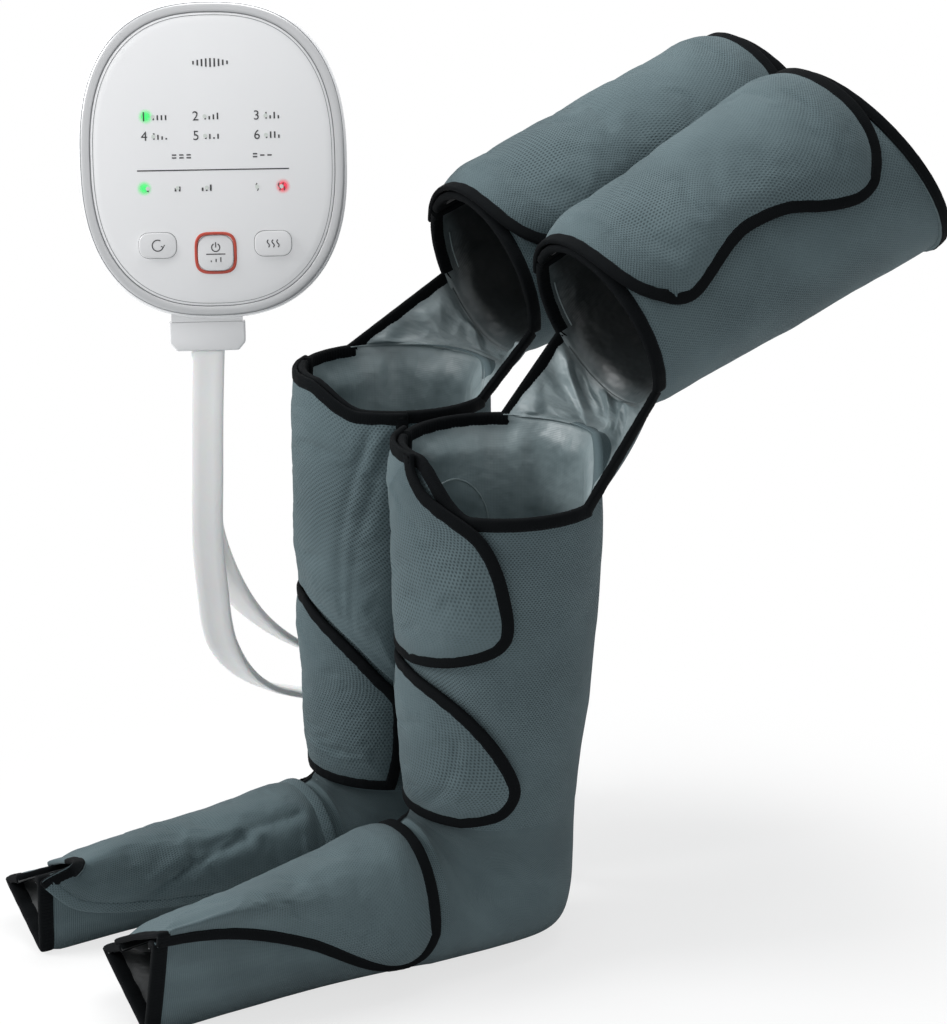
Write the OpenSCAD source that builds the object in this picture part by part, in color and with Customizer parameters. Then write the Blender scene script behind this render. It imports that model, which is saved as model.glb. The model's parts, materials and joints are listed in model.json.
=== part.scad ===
// Air compression leg massager: two padded leg wraps, a hand control and two flat air hoses.
// The floor is z = 0 and the toes point along -Y. The left leg's axis is x = 0.
// On a section of a leg, angle 0 is its +X side, 90 its front or top and 270 its back or sole.
// Lists of two values give the left leg first and the right leg second.

/* [Boots] */
// Distance between the two leg axes
leg_gap = 176; // [174:1:230]
// Height of the crease between shin and instep
crease_z = [125, 92]; // [90:1:134]
// Radius of that crease
crease_r = 6; // [4:0.5:8]
// Half width of the wrap at the ankle
ankle_half_w = 66; // [60:1:70]
// Half depth of the wrap at the ankle
ankle_half_d = 68; // [62:1:72]
// How much the half width grows up to the calf
calf_grow_w = 15; // [8:1:18]
// How much the half depth grows up to the calf
calf_grow_d = 13; // [8:1:16]
// Height over which the calf grows
calf_full_h = 240; // [200:5:260]
// How far the ankle stands in front of the calf
ankle_lean = 7; // [2:1:10]
// How square the heel is, as the power of its curve
heel_power = 7; // [5:1:9]
// How far the sole's curve is cut off by the floor
sole_flat = 3; // [2:0.5:4]
// Half width of the foot part at the instep
foot_half_w = 60; // [55:1:66]
// Length of the foot part in front of the crease
foot_reach = [246, 266]; // [240:1:280]
// Height of the toe opening
toe_h = [94, 72]; // [70:1:96]
// Offset of the toe opening's bottom corner from the leg axis
toe_low_x = [18, 22]; // [0:1:26]
// Offset of the toe opening's top corner from the leg axis
toe_top_x = [44, 26]; // [20:1:46]
// Offset of the toe opening's inner corner from the leg axis
toe_in_x = [-70, -62]; // [-76:1:-56]
// Height of the toe opening's inner corner
toe_in_z = [40, 36]; // [34:1:46]
// Lowest height of the calf wrap's rim
rim_low = [388, 432]; // [370:1:440]
// How much higher the rim is at its peak
rim_rise = [42, 20]; // [10:1:44]

/* [Thigh wraps] */
// Distance of the thigh wrap's knee end behind the leg axis
knee_y = [88, 84]; // [78:1:92]
// Height of the thigh wrap's knee end
knee_z = [509, 520]; // [500:1:530]
// Slope of each thigh wrap
thigh_slope = [24.2, 18.0]; // [10:0.1:26]
// Half width at the knee end
thigh_half_w = 76; // [72:1:80]
// Growth of the half width to the hip end
thigh_grow_w = 8; // [4:1:12]
// Half height at the knee end
thigh_half_h = 76; // [72:1:84]
// Growth of the half height to the hip end
thigh_grow_h = 19; // [10:1:26]
// Length of each thigh wrap
thigh_len = [282, 332]; // [276:2:340]
// How much the hip end leans, per millimetre of height
thigh_skew = 0.26; // [0.1:0.02:0.3]
// How far each hip end stands outward of its knee end
thigh_spread = 8; // [4:1:14]
// Knee hinge behind the leg axis
hinge_y = [96, 92]; // [88:1:100]
// Knee hinge height
hinge_z = [425, 447]; // [420:1:450]

/* [Fabric] */
// Thickness of the outer fabric and its foam
shell_wall = 3; // [2:0.5:4]
// Space for the air bladders between shell and lining
pocket = 4.8; // [4.4:0.2:7]
// Thickness of the lining
lining_wall = 2; // [1:0.5:3]
// Gap between fabric layers that lie on each other
layer_gap = 0.3; // [0.2:0.05:0.5]
// Thickness of a flap at its bound edge
flap_edge = 3; // [2:0.5:4]
// Extra thickness of a flap at its crown
flap_puff = 9; // [4:0.5:10]
// Space between a closed flap and the shell under it
flap_gap = 2.8; // [2.5:0.1:3.4]
// Thickness of the loop tape patches
loop_tape = 0.8; // [0.5:0.1:1]
// Thickness of an empty bladder at its welded edge
bladder_edge = 0.8; // [0.5:0.1:1]
// Extra thickness of a bladder in its middle
bladder_puff = 1.8; // [0.5:0.1:2]
// Thickness of the foot heater
heater_t = 0.8; // [0.5:0.1:1.2]

/* [Hand control] */
// Width of the hand control
ctl_w = 224; // [216:1:240]
// Height of the hand control
ctl_h = 264; // [254:1:280]
// Roundness of its outline, as the power of its curve
ctl_power = 2.5; // [2.3:0.1:3.5]
// Depth of the front cover at its crown
front_t = 24; // [23:0.5:27]
// Depth of the rear cover at its crown
rear_t = 26; // [25:0.5:30]
// Radius of the front cover's dome
front_dome = 900; // [850:10:1200]
// Radius of the rear cover's dome
rear_dome = 600; // [600:10:900]
// Thickness of the covers
case_wall = 2.5; // [2:0.1:3]
// Distance of the hand control's middle beyond the right leg's axis
ctl_side = 112.5; // [112:0.5:130]
// Distance of its middle in front of the leg axes
ctl_front = 111.1; // [108:0.1:125]
// Height of its middle
ctl_up = 619.1; // [615:0.1:640]
// Direction that it faces, seen from above
ctl_turn = 65.8; // [60:0.2:72]
// Upward tilt of its face
ctl_tilt = 9.6; // [5:0.2:14]
// Width of the bezel ring
ring_w = 8; // [5:0.5:9]
// Width of the program and heat buttons
key_w = 31; // [26:0.5:33]
// Height of the program and heat buttons
key_h = 21; // [18:0.5:23]
// Size of the power button
power_w = 29.5; // [26:0.5:31]
// Width of the coloured ring round the power button
power_ring_w = 3; // [2:0.5:4]
// Gap round each button
key_gap = 0.15; // [0.1:0.05:0.3]
// Travel of the buttons
key_travel = 0.8; // [0.5:0.1:1]
// Size of the circuit board
board_size = [144, 170]; // [130:1:172]
// Thickness of the circuit board
board_t = 1.6; // [1:0.2:2]
// Radius of the light guide's pins
pin_r = 1.7; // [1.2:0.1:2]

/* [Plug and hoses] */
// Width of the hose plug
plug_w = 64; // [62:1:68]
// Height of the hose plug
plug_h = 24.4; // [20:0.2:28]
// Offset of the hose plug and its socket from the hand control's middle line
plug_x = -9; // [-10:0.5:0]
// Depth of the hose plug
plug_t = 20; // [19:0.5:22]
// Radius of the plug's nozzles
nozzle_r = 3.8; // [3.4:0.1:4.2]
// Gap between a nozzle and its bore
nozzle_gap = 0.08; // [0.04:0.01:0.1]
// Distance of a nozzle from the plug's middle
nozzle_x = 11; // [9:0.5:14]
// Width of a flat hose
hose_w = 28; // [24:1:30]
// Thickness of a flat hose
hose_t = 7; // [6:0.5:8]
// Height of the hose inlets above the floor
inlet_z = 150; // [146:1:160]
// Angle of the hose inlets round the ankle
inlet_at = 234; // [230:1:240]

/* [Hidden] */
$fn = 48;

leg_x = [0, -leg_gap];
out = [1, -1];
crease_y = -ankle_lean - ankle_half_d - crease_r;
toe_corners = [for (k = [0, 1])
    [[toe_low_x[k], 0], [toe_top_x[k], toe_h[k]], [toe_in_x[k], toe_in_z[k]]]];
toe_sides = [for (c = toe_corners) [for (i = [0:2]) norm(c[(i + 1) % 3] - c[(i + 2) % 3])]];
toe_round = [for (l = toe_sides) l[0] + l[1] + l[2]];
toe_middle = [for (k = [0, 1]) toe_sides[k]*toe_corners[k]/toe_round[k]];
toe_inner_r = [for (k = [0, 1]) let(c = toe_corners[k])
    abs((c[1][0] - c[0][0])*c[2][1] - (c[2][0] - c[0][0])*c[1][1])/toe_round[k]];
rim_peak_at = 185;

// Edges of the front slit: inner edge and outer edge at the toe, the instep and the shin
slit_in = [138, 138, 136];
slit_out = [430, 470, 490];
foot_rows = [0, 0.2, 0.4, 0.6, 0.75, 0.88, 0.95, 1, 1.2, 1.36, 1.48, 1.62, 1.8, 2];
calf_rows = [2, 2.15, 2.35, 2.55, 2.75, 2.9, 3];
lining_rows = concat([0, 0.06], [for (w = foot_rows) if (w > 0.1) w], [2.15, 2.55, 2.9, 3]);
back_cols = 8;
side_cols = 14;
thigh_slit = [140, 495];
thigh_cols = 25;
thigh_rows = [0, 0.2, 0.4, 0.6, 0.8, 1];

// Depths below the outer surface
lining_out = shell_wall + pocket;
lining_in = lining_out + lining_wall;
bladder_out = shell_wall + 1;
heater_out = shell_wall + 1.2;

// Flap outlines: height, or share along the foot, then the angle of the free edge there
flap_cols = 11;
calf_root = 142;
upper_flap = [
    [[432, 84], [420, 83], [405, 74], [394, 60], [378, 42], [355, 32], [325, 26], [295, 24],
     [278, 34], [266, 60], [261, 86]],
    [[452, 22], [439, 22], [420, 22], [400, 22], [380, 22], [355, 22], [330, 22], [305, 22],
     [285, 22], [270, 22], [262, 22]]
];
// The right upper flap follows the rim and ends above the lower flap: angle, then height
upper_end = [[22, 186], [36, 205], [52, 227], [70, 245], [96, 262]];
lower_flap = [
    [[254, 96], [246, 72], [232, 52], [212, 36], [190, 24], [165, 15], [148, 17], [136, 27],
     [129, 50]],
    [[258, 96], [240, 70], [222, 52], [200, 36], [181, 24], [155, 22], [126, 22], [97, 26]]
];
foot_root = 144;
foot_ridge = 60;
foot_flap_outline = [
    [[1, 55], [0.9, 52], [0.79, 45], [0.69, 33], [0.58, 18], [0.47, 1], [0.36, -18], [0.26, -34],
     [0.18, -41], [0.115, -38], [0.07, -26], [0.045, -8]],
    [[1, 40], [0.94, 8], [0.88, -11], [0.79, -21], [0.69, -26], [0.58, -28], [0.47, -29],
     [0.36, -30], [0.26, -31], [0.18, -31], [0.115, -29], [0.07, -21], [0.045, -8]]
];
thigh_root = 150;
// Share of the length between the flap's slanted ends, then the angle of the free edge there
thigh_flap_outline = [
    [0, 13], [0.08, 12], [0.15, 14], [0.29, 22], [0.38, 26], [0.46, 27], [0.6, 24], [0.7, 17],
    [0.78, 12], [0.86, 9], [0.93, 9], [1, 12]
];

key_at = [[-48, -70], [0, -77], [48, -70]];
light_at = concat(
    [for (y = [36, 20], x = [-48.7, -5.9, 44.5]) [x, y]],
    [for (x = [-54.6, -30, -5.9, 36, 56.3]) [x, -22.7]]
);
ring_seat = 11;
ring_edge = 2.5;
board_z = 4;
switch_h = 4;
plunger_h = 1;
key_flange = 2;
stem_z = board_z + board_t + switch_h + plunger_h + key_travel + 0.1;
screw_at = [80, 70];
screw_r = 1.5;
socket_half = [30, 10.5];
socket_face = ctl_h/2 + 2.9;
plug_top = socket_face + 0.3;
pump_at = [-36, 34];
pump_size = [54, 44, 17.5];
pump_floor = -15;
valve_size = [16, 24, 15];
valve_floor = -14;
valve_y = -15;
manifold_size = [84, 12, 12];
manifold_y = valve_y - valve_size[1]/2 - manifold_size[1]/2;
tube_z = -6.5;
tube_r = 2.5;
ctl_at = [-leg_gap - ctl_side, -ctl_front, ctl_up];

// Points of a hose's middle, then the direction across its width
left_route = [
    [-271, -131, 433, 66], [-268, -134, 400, 66], [-265, -138, 350, 66], [-263, -138, 305, 62],
    [-259, -125, 262, 46], [-260, -99, 222, 28], [-264, -62, 189, 16], [-273, -20, 165, 12],
    [-281, 28, 148, 8], [-280, 76, 130, -2], [-265, 112, 102, -20], [-238, 136, 66, -42],
    [-203, 148, 32, -65], [-166, 148, 10, -87], [-130, 132, 4, -111], [-98, 112, 4, -126],
    [-72, 92, 10, -136], [-54, 74, 38, -144], [-47, 62, 84, -144], [-46, 58, 122, -144]
];
right_route = [
    [-261, -135, 434, 66], [-258, -138, 400, 66], [-255, -141, 350, 66], [-254, -143, 300, 66],
    [-253, -140, 250, 62], [-255, -133, 206, 50], [-260, -112, 171, 32], [-271, -80, 145, 18],
    [-283, -40, 127, 10], [-292, 5, 108, 5], [-294, 48, 86, 0], [-284, 86, 66, -20],
    [-262, 104, 54, -52], [-241, 97, 58, -100], [-228, 80, 80, -134], [-222, 64, 114, -144]
];

function mix(a, b, m) = a + (b - a)*m;
function clamp(x) = min(1, max(0, x));
function ease(x) = let(c = clamp(x)) c*c*(3 - 2*c);
function unit(v) = v/norm(v);
function crown(u) = 1 - pow(2*u - 1, 4);

// Surface of the left or right wrap at a depth below its outer face
function calf_pt(side, z, t, d) =
    let(f = sin(90*clamp((z - crease_z[side])/calf_full_h)))
    [leg_x[side] + (ankle_half_w + calf_grow_w*f - d)*cos(t),
     ankle_lean*(f - 1) - (ankle_half_d + calf_grow_d*f - d)*sin(t), z];
function heel_reach(side, ph) =
    1/pow(pow(cos(ph)/(crease_r + 2*ankle_half_d), heel_power)
        + pow(sin(ph)/(crease_z[side] + sole_flat), heel_power), 1/heel_power);
function heel_pt(side, ph, t, d) =
    let(r = heel_reach(side, ph), s = (r + crease_r)/2 - ((r - crease_r)/2 - d)*sin(t),
        half_w = mix(ankle_half_w, foot_half_w, ph/90) - d)
    [leg_x[side] + half_w*cos(t), crease_y + s*cos(ph), max(crease_z[side] - s*sin(ph), d, 0)];
function turn_from_sole(t) = (t + 450) % 360 - 90;
function toe_pt(side, t, d) =
    let(a = turn_from_sole(t), c = toe_corners[side],
        p = a < 60 ? mix(c[0], c[1], (a + 90)/150)
            : a < 180 ? mix(c[1], c[2], (a - 60)/120) : mix(c[2], c[0], (a - 180)/90))
    toe_middle[side] + (p - toe_middle[side])*(1 - d/toe_inner_r[side]);
function foot_pt(side, reach, t, d) =
    let(w = reach/foot_reach[side], top = mix(crease_z[side] - crease_r, toe_h[side], w),
        round_pt = [(foot_half_w - d)*cos(t),
                    (top - sole_flat)/2 + ((top + sole_flat)/2 - d)*sin(t)],
        p = mix(round_pt, toe_pt(side, t, d), pow(w, 0.8)))
    [leg_x[side] + p[0], crease_y - reach, max(p[1], d, 0)];
function rim_z(side, t) =
    let(off = abs((t - rim_peak_at + 540) % 360 - 180))
    rim_low[side] + rim_rise[side]*ease((138 - off)/38);
// Runs from the toe at 0 over the instep at 1 and the ankle at 2 to the rim at 3
function boot_pt(side, w, t, d) =
    w < 1 ? foot_pt(side, foot_reach[side]*(1 - w), t, d)
    : w < 2 ? heel_pt(side, 90*(2 - w), t, d)
    : calf_pt(side, mix(crease_z[side], rim_z(side, t), w - 2), t, d);
function thigh_pt(side, s, t, d) =
    let(v = (thigh_half_h + thigh_grow_h*s - d)*sin(t), a = s*(thigh_len[side] - thigh_skew*v),
        slope = thigh_slope[side])
    [leg_x[side] + out[side]*thigh_spread*s + (thigh_half_w + thigh_grow_w*s - d)*cos(t),
     knee_y[side] + a*cos(slope) - v*sin(slope), knee_z[side] + a*sin(slope) + v*cos(slope)];

function slit_edge(edges, w) =
    w < 1 ? mix(edges[0], edges[1], w) : mix(edges[1], edges[2], min(1, w - 1));
function boot_angle(w, j) =
    j < back_cols ? mix(slit_edge(slit_in, w), 270, j/back_cols)
    : mix(270, slit_edge(slit_out, w), (j - back_cols)/side_cols);
function boot_grid(side, rows, cols, d) =
    [for (w = rows) [for (j = cols) boot_pt(side, w, boot_angle(w, j), d)]];
function thigh_angle(j) = mix(thigh_slit[0], thigh_slit[1], j/thigh_cols);
function thigh_grid(side, rows, cols, d) =
    [for (s = rows) [for (j = cols) thigh_pt(side, s, thigh_angle(j), d)]];

// Closed solid between two grids of points, where the first one is the outer face
module sheet(outer, inner) {
    rows = len(outer) - 1;
    cols = len(outer[0]) - 1;
    function at(k, i, j) = (k*(rows + 1) + i)*(cols + 1) + j;
    function quad(a, b, c, d) = [[a, c, b], [a, d, c]];
    points = concat([for (r = outer) each r], [for (r = inner) each r]);
    faces = [for (i = [0:rows - 1], j = [0:cols - 1]) each concat(
        quad(at(0, i, j), at(0, i + 1, j), at(0, i + 1, j + 1), at(0, i, j + 1)),
        [for (f = quad(at(1, i, j), at(1, i + 1, j), at(1, i + 1, j + 1), at(1, i, j + 1)))
            [f[0], f[2], f[1]]])];
    ends = [for (j = [0:cols - 1]) each concat(
        quad(at(0, 0, j), at(0, 0, j + 1), at(1, 0, j + 1), at(1, 0, j)),
        quad(at(0, rows, j + 1), at(0, rows, j), at(1, rows, j), at(1, rows, j + 1)))];
    sides = [for (i = [0:rows - 1]) each concat(
        quad(at(0, i + 1, 0), at(0, i, 0), at(1, i, 0), at(1, i + 1, 0)),
        quad(at(0, i, cols), at(0, i + 1, cols), at(1, i + 1, cols), at(1, i, cols)))];
    polyhedron(points, concat(faces, ends, sides));
}

module foot_shell(side) {
    cols = [0:back_cols + side_cols];
    color([0.27, 0.34, 0.36])
        sheet(boot_grid(side, foot_rows, cols, 0), boot_grid(side, foot_rows, cols, shell_wall));
}
module calf_shell(side) {
    cols = [0:back_cols + side_cols];
    color([0.29, 0.37, 0.39])
        sheet(boot_grid(side, calf_rows, cols, 0), boot_grid(side, calf_rows, cols, shell_wall));
}
module thigh_shell(side) {
    cols = [0:thigh_cols];
    color([0.29, 0.37, 0.39])
        sheet(thigh_grid(side, thigh_rows, cols, 0),
            thigh_grid(side, thigh_rows, cols, shell_wall));
}

// The lining stands off the shell and is sewn to it round its edge
function sewn(d, i, rows, j, cols) =
    i == 0 || i == rows || j == 0 || j == cols ? d - pocket + layer_gap : d;
function lining_grid(side, d) =
    let(n = len(lining_rows) - 1, m = back_cols + side_cols)
    [for (i = [0:n]) let(w = lining_rows[i]) [for (j = [0:m])
        boot_pt(side, w, boot_angle(w, j), sewn(d, i, n, j, m))]];
function thigh_lining_grid(side, d) =
    let(rows = [0, 0.05, 0.35, 0.65, 0.95, 1], n = len(rows) - 1)
    [for (i = [0:n]) [for (j = [0:thigh_cols])
        thigh_pt(side, rows[i], thigh_angle(j), sewn(d, i, n, j, thigh_cols))]];
module boot_lining(side) {
    color([0.42, 0.5, 0.52])
        sheet(lining_grid(side, lining_out), lining_grid(side, lining_in));
}
module thigh_lining(side) {
    color([0.42, 0.5, 0.52])
        sheet(thigh_lining_grid(side, lining_out), thigh_lining_grid(side, lining_in));
}

// Flat air bladders, thin round the weld and fuller in the middle
bladder_steps = 8;
function swell(i, n, j, m) = bladder_edge + bladder_puff*crown(i/n)*crown(j/m);
function bladder_depth(k, i, n, j, m) = k == 0 ? bladder_out : bladder_out + swell(i, n, j, m);
function boot_bladder(side, rows, span, k) =
    let(n = len(rows) - 1, m = bladder_steps)
    [for (i = [0:n]) [for (j = [0:m])
        boot_pt(side, rows[i], mix(span[0], span[1], j/m), bladder_depth(k, i, n, j, m))]];
function thigh_bladder_grid(side, rows, span, k) =
    let(n = len(rows) - 1, m = bladder_steps)
    [for (i = [0:n]) [for (j = [0:m])
        thigh_pt(side, rows[i], mix(span[0], span[1], j/m), bladder_depth(k, i, n, j, m))]];
module boot_bladder_bag(side, rows, span) {
    color([0.82, 0.84, 0.82])
        sheet(boot_bladder(side, rows, span, 0), boot_bladder(side, rows, span, 1));
}
module thigh_bladder_bag(side) {
    rows = [0.2, 0.35, 0.5, 0.65, 0.8];
    span = [200, 340];
    color([0.82, 0.84, 0.82])
        sheet(thigh_bladder_grid(side, rows, span, 0), thigh_bladder_grid(side, rows, span, 1));
}
module foot_heater(side) {
    rows = [0.4, 0.6, 0.75, 0.88];
    function pad(d) = [for (w = rows) [for (t = [322:12:370]) boot_pt(side, w, t, d)]];
    color([0.75, 0.45, 0.3]) sheet(pad(heater_out), pad(heater_out + heater_t));
}

// Loop tape patches lie on the shell where the free ends of the flaps land
module boot_patch(side, rows, cols) {
    sheet(boot_grid(side, rows, cols, -loop_tape), boot_grid(side, rows, cols, 0));
}
module loop_patches(side) {
    color([0.5, 0.56, 0.58]) {
        boot_patch(side, [0.75, 0.88, 0.95], [13:16]);
        boot_patch(side, [2.15, 2.35], [16:18]);
        boot_patch(side, [2.55, 2.75], [16:18]);
    }
}
module thigh_loop_patch(side) {
    cols = [18:20];
    rows = [0.2, 0.4, 0.6, 0.8];
    color([0.5, 0.56, 0.58])
        sheet(thigh_grid(side, rows, cols, -loop_tape), thigh_grid(side, rows, cols, 0));
}

// Padded flaps: a bound edge, a crown and drawn-in sides
function flap_depth(k, outline, i, v) =
    let(u = (outline[i][0] - outline[0][0])/(outline[len(outline) - 1][0] - outline[0][0]),
        near = flap_gap - (flap_gap - 0.6)*max(0, 1 - 4*v))
    -(k == 0 ? near + flap_edge + flap_puff*crown(u)*crown(v) : near);
function flap_height(side, outline, i, t) =
    let(first = outline[0][0], last = outline[len(outline) - 1][0],
        share = (outline[i][0] - first)/(last - first))
    side == 0 || outline == lower_flap[1] ? outline[i][0]
    : mix(rim_z(side, t), lookup(t, upper_end), share);
function calf_flap_depth(k, outline, i, v) =
    let(near = mix(0.6, flap_gap, ease(v/0.4)),
        u = (outline[i][0] - outline[0][0])/(outline[len(outline) - 1][0] - outline[0][0]))
    -(k == 0 ? near + flap_edge + flap_puff*crown(u)*crown(v)*ease(v/0.5) : near);
function calf_flap_grid(side, outline, k) =
    [for (i = [len(outline) - 1:-1:0]) [for (j = [flap_cols:-1:0])
        let(v = j/flap_cols, t = mix(calf_root, outline[i][1], v))
        calf_pt(side, flap_height(side, outline, i, t), t, calf_flap_depth(k, outline, i, v))]];
// One column follows the ridge that runs to the toe opening's top corner
ridge_col = 6;
function foot_flap_angle(free, j) =
    j <= ridge_col ? mix(foot_root, foot_ridge, j/ridge_col)
    : mix(foot_ridge, free, (j - ridge_col)/(flap_cols - ridge_col));
function foot_flap_grid(side, k) =
    let(o = foot_flap_outline[side])
    [for (i = [0:len(o) - 1]) [for (j = [flap_cols:-1:0])
        foot_pt(side, o[i][0]*foot_reach[side], foot_flap_angle(o[i][1], j),
            flap_depth(k, o, i, j/flap_cols))]];
function thigh_flap_start(v) = 0.1*pow(v, 8);
function thigh_flap_end(v) = 0.98 - 0.13*pow(v, 3);
function thigh_flap_grid(side, k) =
    let(o = thigh_flap_outline)
    [for (i = [0:len(o) - 1]) [for (j = [flap_cols:-1:0]) let(v = j/flap_cols)
        thigh_pt(side, mix(thigh_flap_start(v), thigh_flap_end(v), o[i][0]),
            mix(thigh_root, o[i][1], v), flap_depth(k, o, i, v))]];
module foot_flap(side) {
    color([0.33, 0.42, 0.44]) sheet(foot_flap_grid(side, 0), foot_flap_grid(side, 1));
}
module lower_calf_flap(side) {
    o = lower_flap[side];
    color([0.33, 0.42, 0.44]) sheet(calf_flap_grid(side, o, 0), calf_flap_grid(side, o, 1));
}
module upper_calf_flap(side) {
    o = upper_flap[side];
    color([0.35, 0.44, 0.46]) sheet(calf_flap_grid(side, o, 0), calf_flap_grid(side, o, 1));
}
module thigh_flap(side) {
    color([0.35, 0.44, 0.46]) sheet(thigh_flap_grid(side, 0), thigh_flap_grid(side, 1));
}

// The soft band behind the knee joins the calf wrap to the thigh wrap
band_calf = [[4.5, 12], [2.5, 11.5]];
band_thigh = [[196, 324], [190, 328]];
band_rows = [0, 0.2, 0.4, 0.6, 0.8, 1];
band_sag = 7;
// The band starts on the shell's rim, also halfway between two of the rim's points
function band_start(side, j) =
    (rim_z(side, boot_angle(3, floor(j))) + rim_z(side, boot_angle(3, ceil(j))))/2;
function band_grid(side, d) =
    let(first = band_calf[side][0], last = band_calf[side][1])
    [for (u = band_rows) [for (j = [first:0.5:last])
        let(v = (j - first)/(last - first), a = boot_angle(3, j),
            low = calf_pt(side, band_start(side, j) + layer_gap, a, d),
            high = thigh_pt(side, -layer_gap/thigh_len[side],
                mix(band_thigh[side][0], band_thigh[side][1], v), d))
        mix(low, high, u) + band_sag*sin(180*u)*sin(180*v)*[0, 1, -1]]];
module knee_band(side) {
    color([0.4, 0.48, 0.5]) sheet(band_grid(side, 0), band_grid(side, shell_wall));
}

// Inlet that takes the flat hose from below and leads its air to the bladders
inlet_size = [34, 14, 28];
function calf_r(side, z) =
    ankle_half_d + calf_grow_d*sin(90*clamp((z - crease_z[side])/calf_full_h));
function inlet_near(side) = calf_r(side, inlet_z) + layer_gap;
function inlet_middle(side) = inlet_near(side) + 1 + inlet_size[1]/2;
function inlet_y(side) = calf_pt(side, inlet_z, 0, 0)[1];
inlet_top = inlet_z + inlet_size[2];
function inlet_far(side) =
    calf_r(side, inlet_top) + layer_gap + calf_pt(side, inlet_top, 0, 0)[1] - inlet_y(side);
function inlet_pt(side) =
    [leg_x[side] + inlet_middle(side)*cos(inlet_at),
     inlet_y(side) - inlet_middle(side)*sin(inlet_at), inlet_z];
module rounded_plate(w, h, r, t) {
    linear_extrude(t) {
        square([w - 2*r, h], center = true);
        square([w, h - 2*r], center = true);
        for (x = [-1, 1], y = [-1, 1]) translate([x*(w/2 - r), y*(h/2 - r)]) circle(r);
    }
}
module hose_inlet(side) {
    deep = inlet_size[1] + 8;
    color([0.9, 0.9, 0.88]) difference() {
        translate([leg_x[side], inlet_y(side), inlet_z]) rotate([0, 0, -90 - inlet_at])
            translate([0, inlet_middle(side) + inlet_size[1]/2 - deep/2, 0])
                rounded_plate(inlet_size[0], deep, 4, inlet_size[2]);
        translate([leg_x[side], inlet_y(side), inlet_z - 1])
            cylinder(r1 = inlet_near(side), r2 = inlet_far(side), h = inlet_size[2] + 2, $fn = 96);
    }
}

// Everything of the hand control is drawn facing +Z and set in place by this module
module at_control() {
    translate(ctl_at) rotate([90 - ctl_tilt, 0, ctl_turn]) children();
}
ctl_x = [cos(ctl_turn), sin(ctl_turn), 0];
ctl_y = [-sin(ctl_turn)*sin(ctl_tilt), cos(ctl_turn)*sin(ctl_tilt), cos(ctl_tilt)];
ctl_n = cross(ctl_x, ctl_y);

// Outline of the hand control, drawn in by a margin
function case_outline(in) =
    [for (a = [3:6:357])
        [(ctl_w/2 - in)*sign(cos(a))*pow(abs(cos(a)), 2/ctl_power),
         (ctl_h/2 - in)*sign(sin(a))*pow(abs(sin(a)), 2/ctl_power)]];
module case_slab(in, z0, z1) {
    translate([0, 0, z0]) linear_extrude(z1 - z0) polygon(case_outline(in));
}
module front_ball(less) {
    translate([0, 0, front_t - front_dome]) sphere(front_dome - less, $fn = 360);
}
module rear_ball(less) {
    translate([0, 0, rear_dome - rear_t]) sphere(rear_dome - less, $fn = 360);
}
function dome_z(at, less) =
    front_t - front_dome + sqrt(pow(front_dome - less, 2) - at*at);
module key_plate(i, grow, z0, z1) {
    w = i == 1 ? power_w : key_w;
    h = i == 1 ? power_w : key_h;
    r = i == 1 ? 9.5 : 8;
    translate([key_at[i][0], key_at[i][1], z0])
        rounded_plate(w + 2*grow, h + 2*grow, r + grow, z1 - z0);
}
module socket_cut() {
    gap = 0.2;
    translate([plug_x - socket_half[0] - gap, -ctl_h/2 - 5, -socket_half[1] - gap])
        cube([2*(socket_half[0] + gap), 25, 2*(socket_half[1] + gap)]);
}
jack_r = 5.3;
module jack_cut() {
    translate([ctl_w/2 - 20, 0, 0]) rotate([0, 90, 0]) cylinder(r = jack_r + 0.15, h = 30);
}
module front_cover() {
    wall = case_wall + 0.5;
    under_ring = ring_seat - wall;
    color([0.93, 0.93, 0.92]) at_control() difference() {
        union() {
            difference() {
                intersection() {
                    case_slab(0, 0, front_t + 1);
                    front_ball(0);
                }
                case_slab(wall, -1, under_ring);
                intersection() {
                    case_slab(ring_edge + ring_w + wall, -1, front_t + 1);
                    front_ball(wall);
                }
            }
            intersection() {
                for (x = [-1, 1], y = [-1, 1])
                    translate([x*screw_at[0], y*screw_at[1], 0]) cylinder(r = 4.5, h = front_t);
                front_ball(wall/2);
            }
        }
        difference() {
            case_slab(ring_edge, ring_seat, front_t + 2);
            case_slab(ring_edge + ring_w, ring_seat - 1, front_t + 3);
        }
        for (i = [0:2]) key_plate(i, key_gap, under_ring, front_t + 1);
        key_plate(1, power_ring_w + 0.1, dome_z(norm(key_at[1]), 0) - 1.5, front_t + 1);
        for (p = light_at) translate([p[0], p[1], 0]) cylinder(r = pin_r + 0.1, h = front_t + 1);
        for (x = [-1, 1], y = [-1, 1])
            translate([x*screw_at[0], y*screw_at[1], -1]) cylinder(r = screw_r + 0.05, h = 10);
        socket_cut();
        jack_cut();
    }
}
module bezel_ring() {
    gap = 0.1;
    color([0.8, 0.81, 0.82]) at_control() intersection() {
        difference() {
            case_slab(ring_edge + gap, ring_seat, front_t + 2);
            case_slab(ring_edge + ring_w - gap, ring_seat - 1, front_t + 3);
        }
        front_ball(-0.6);
    }
}
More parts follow.
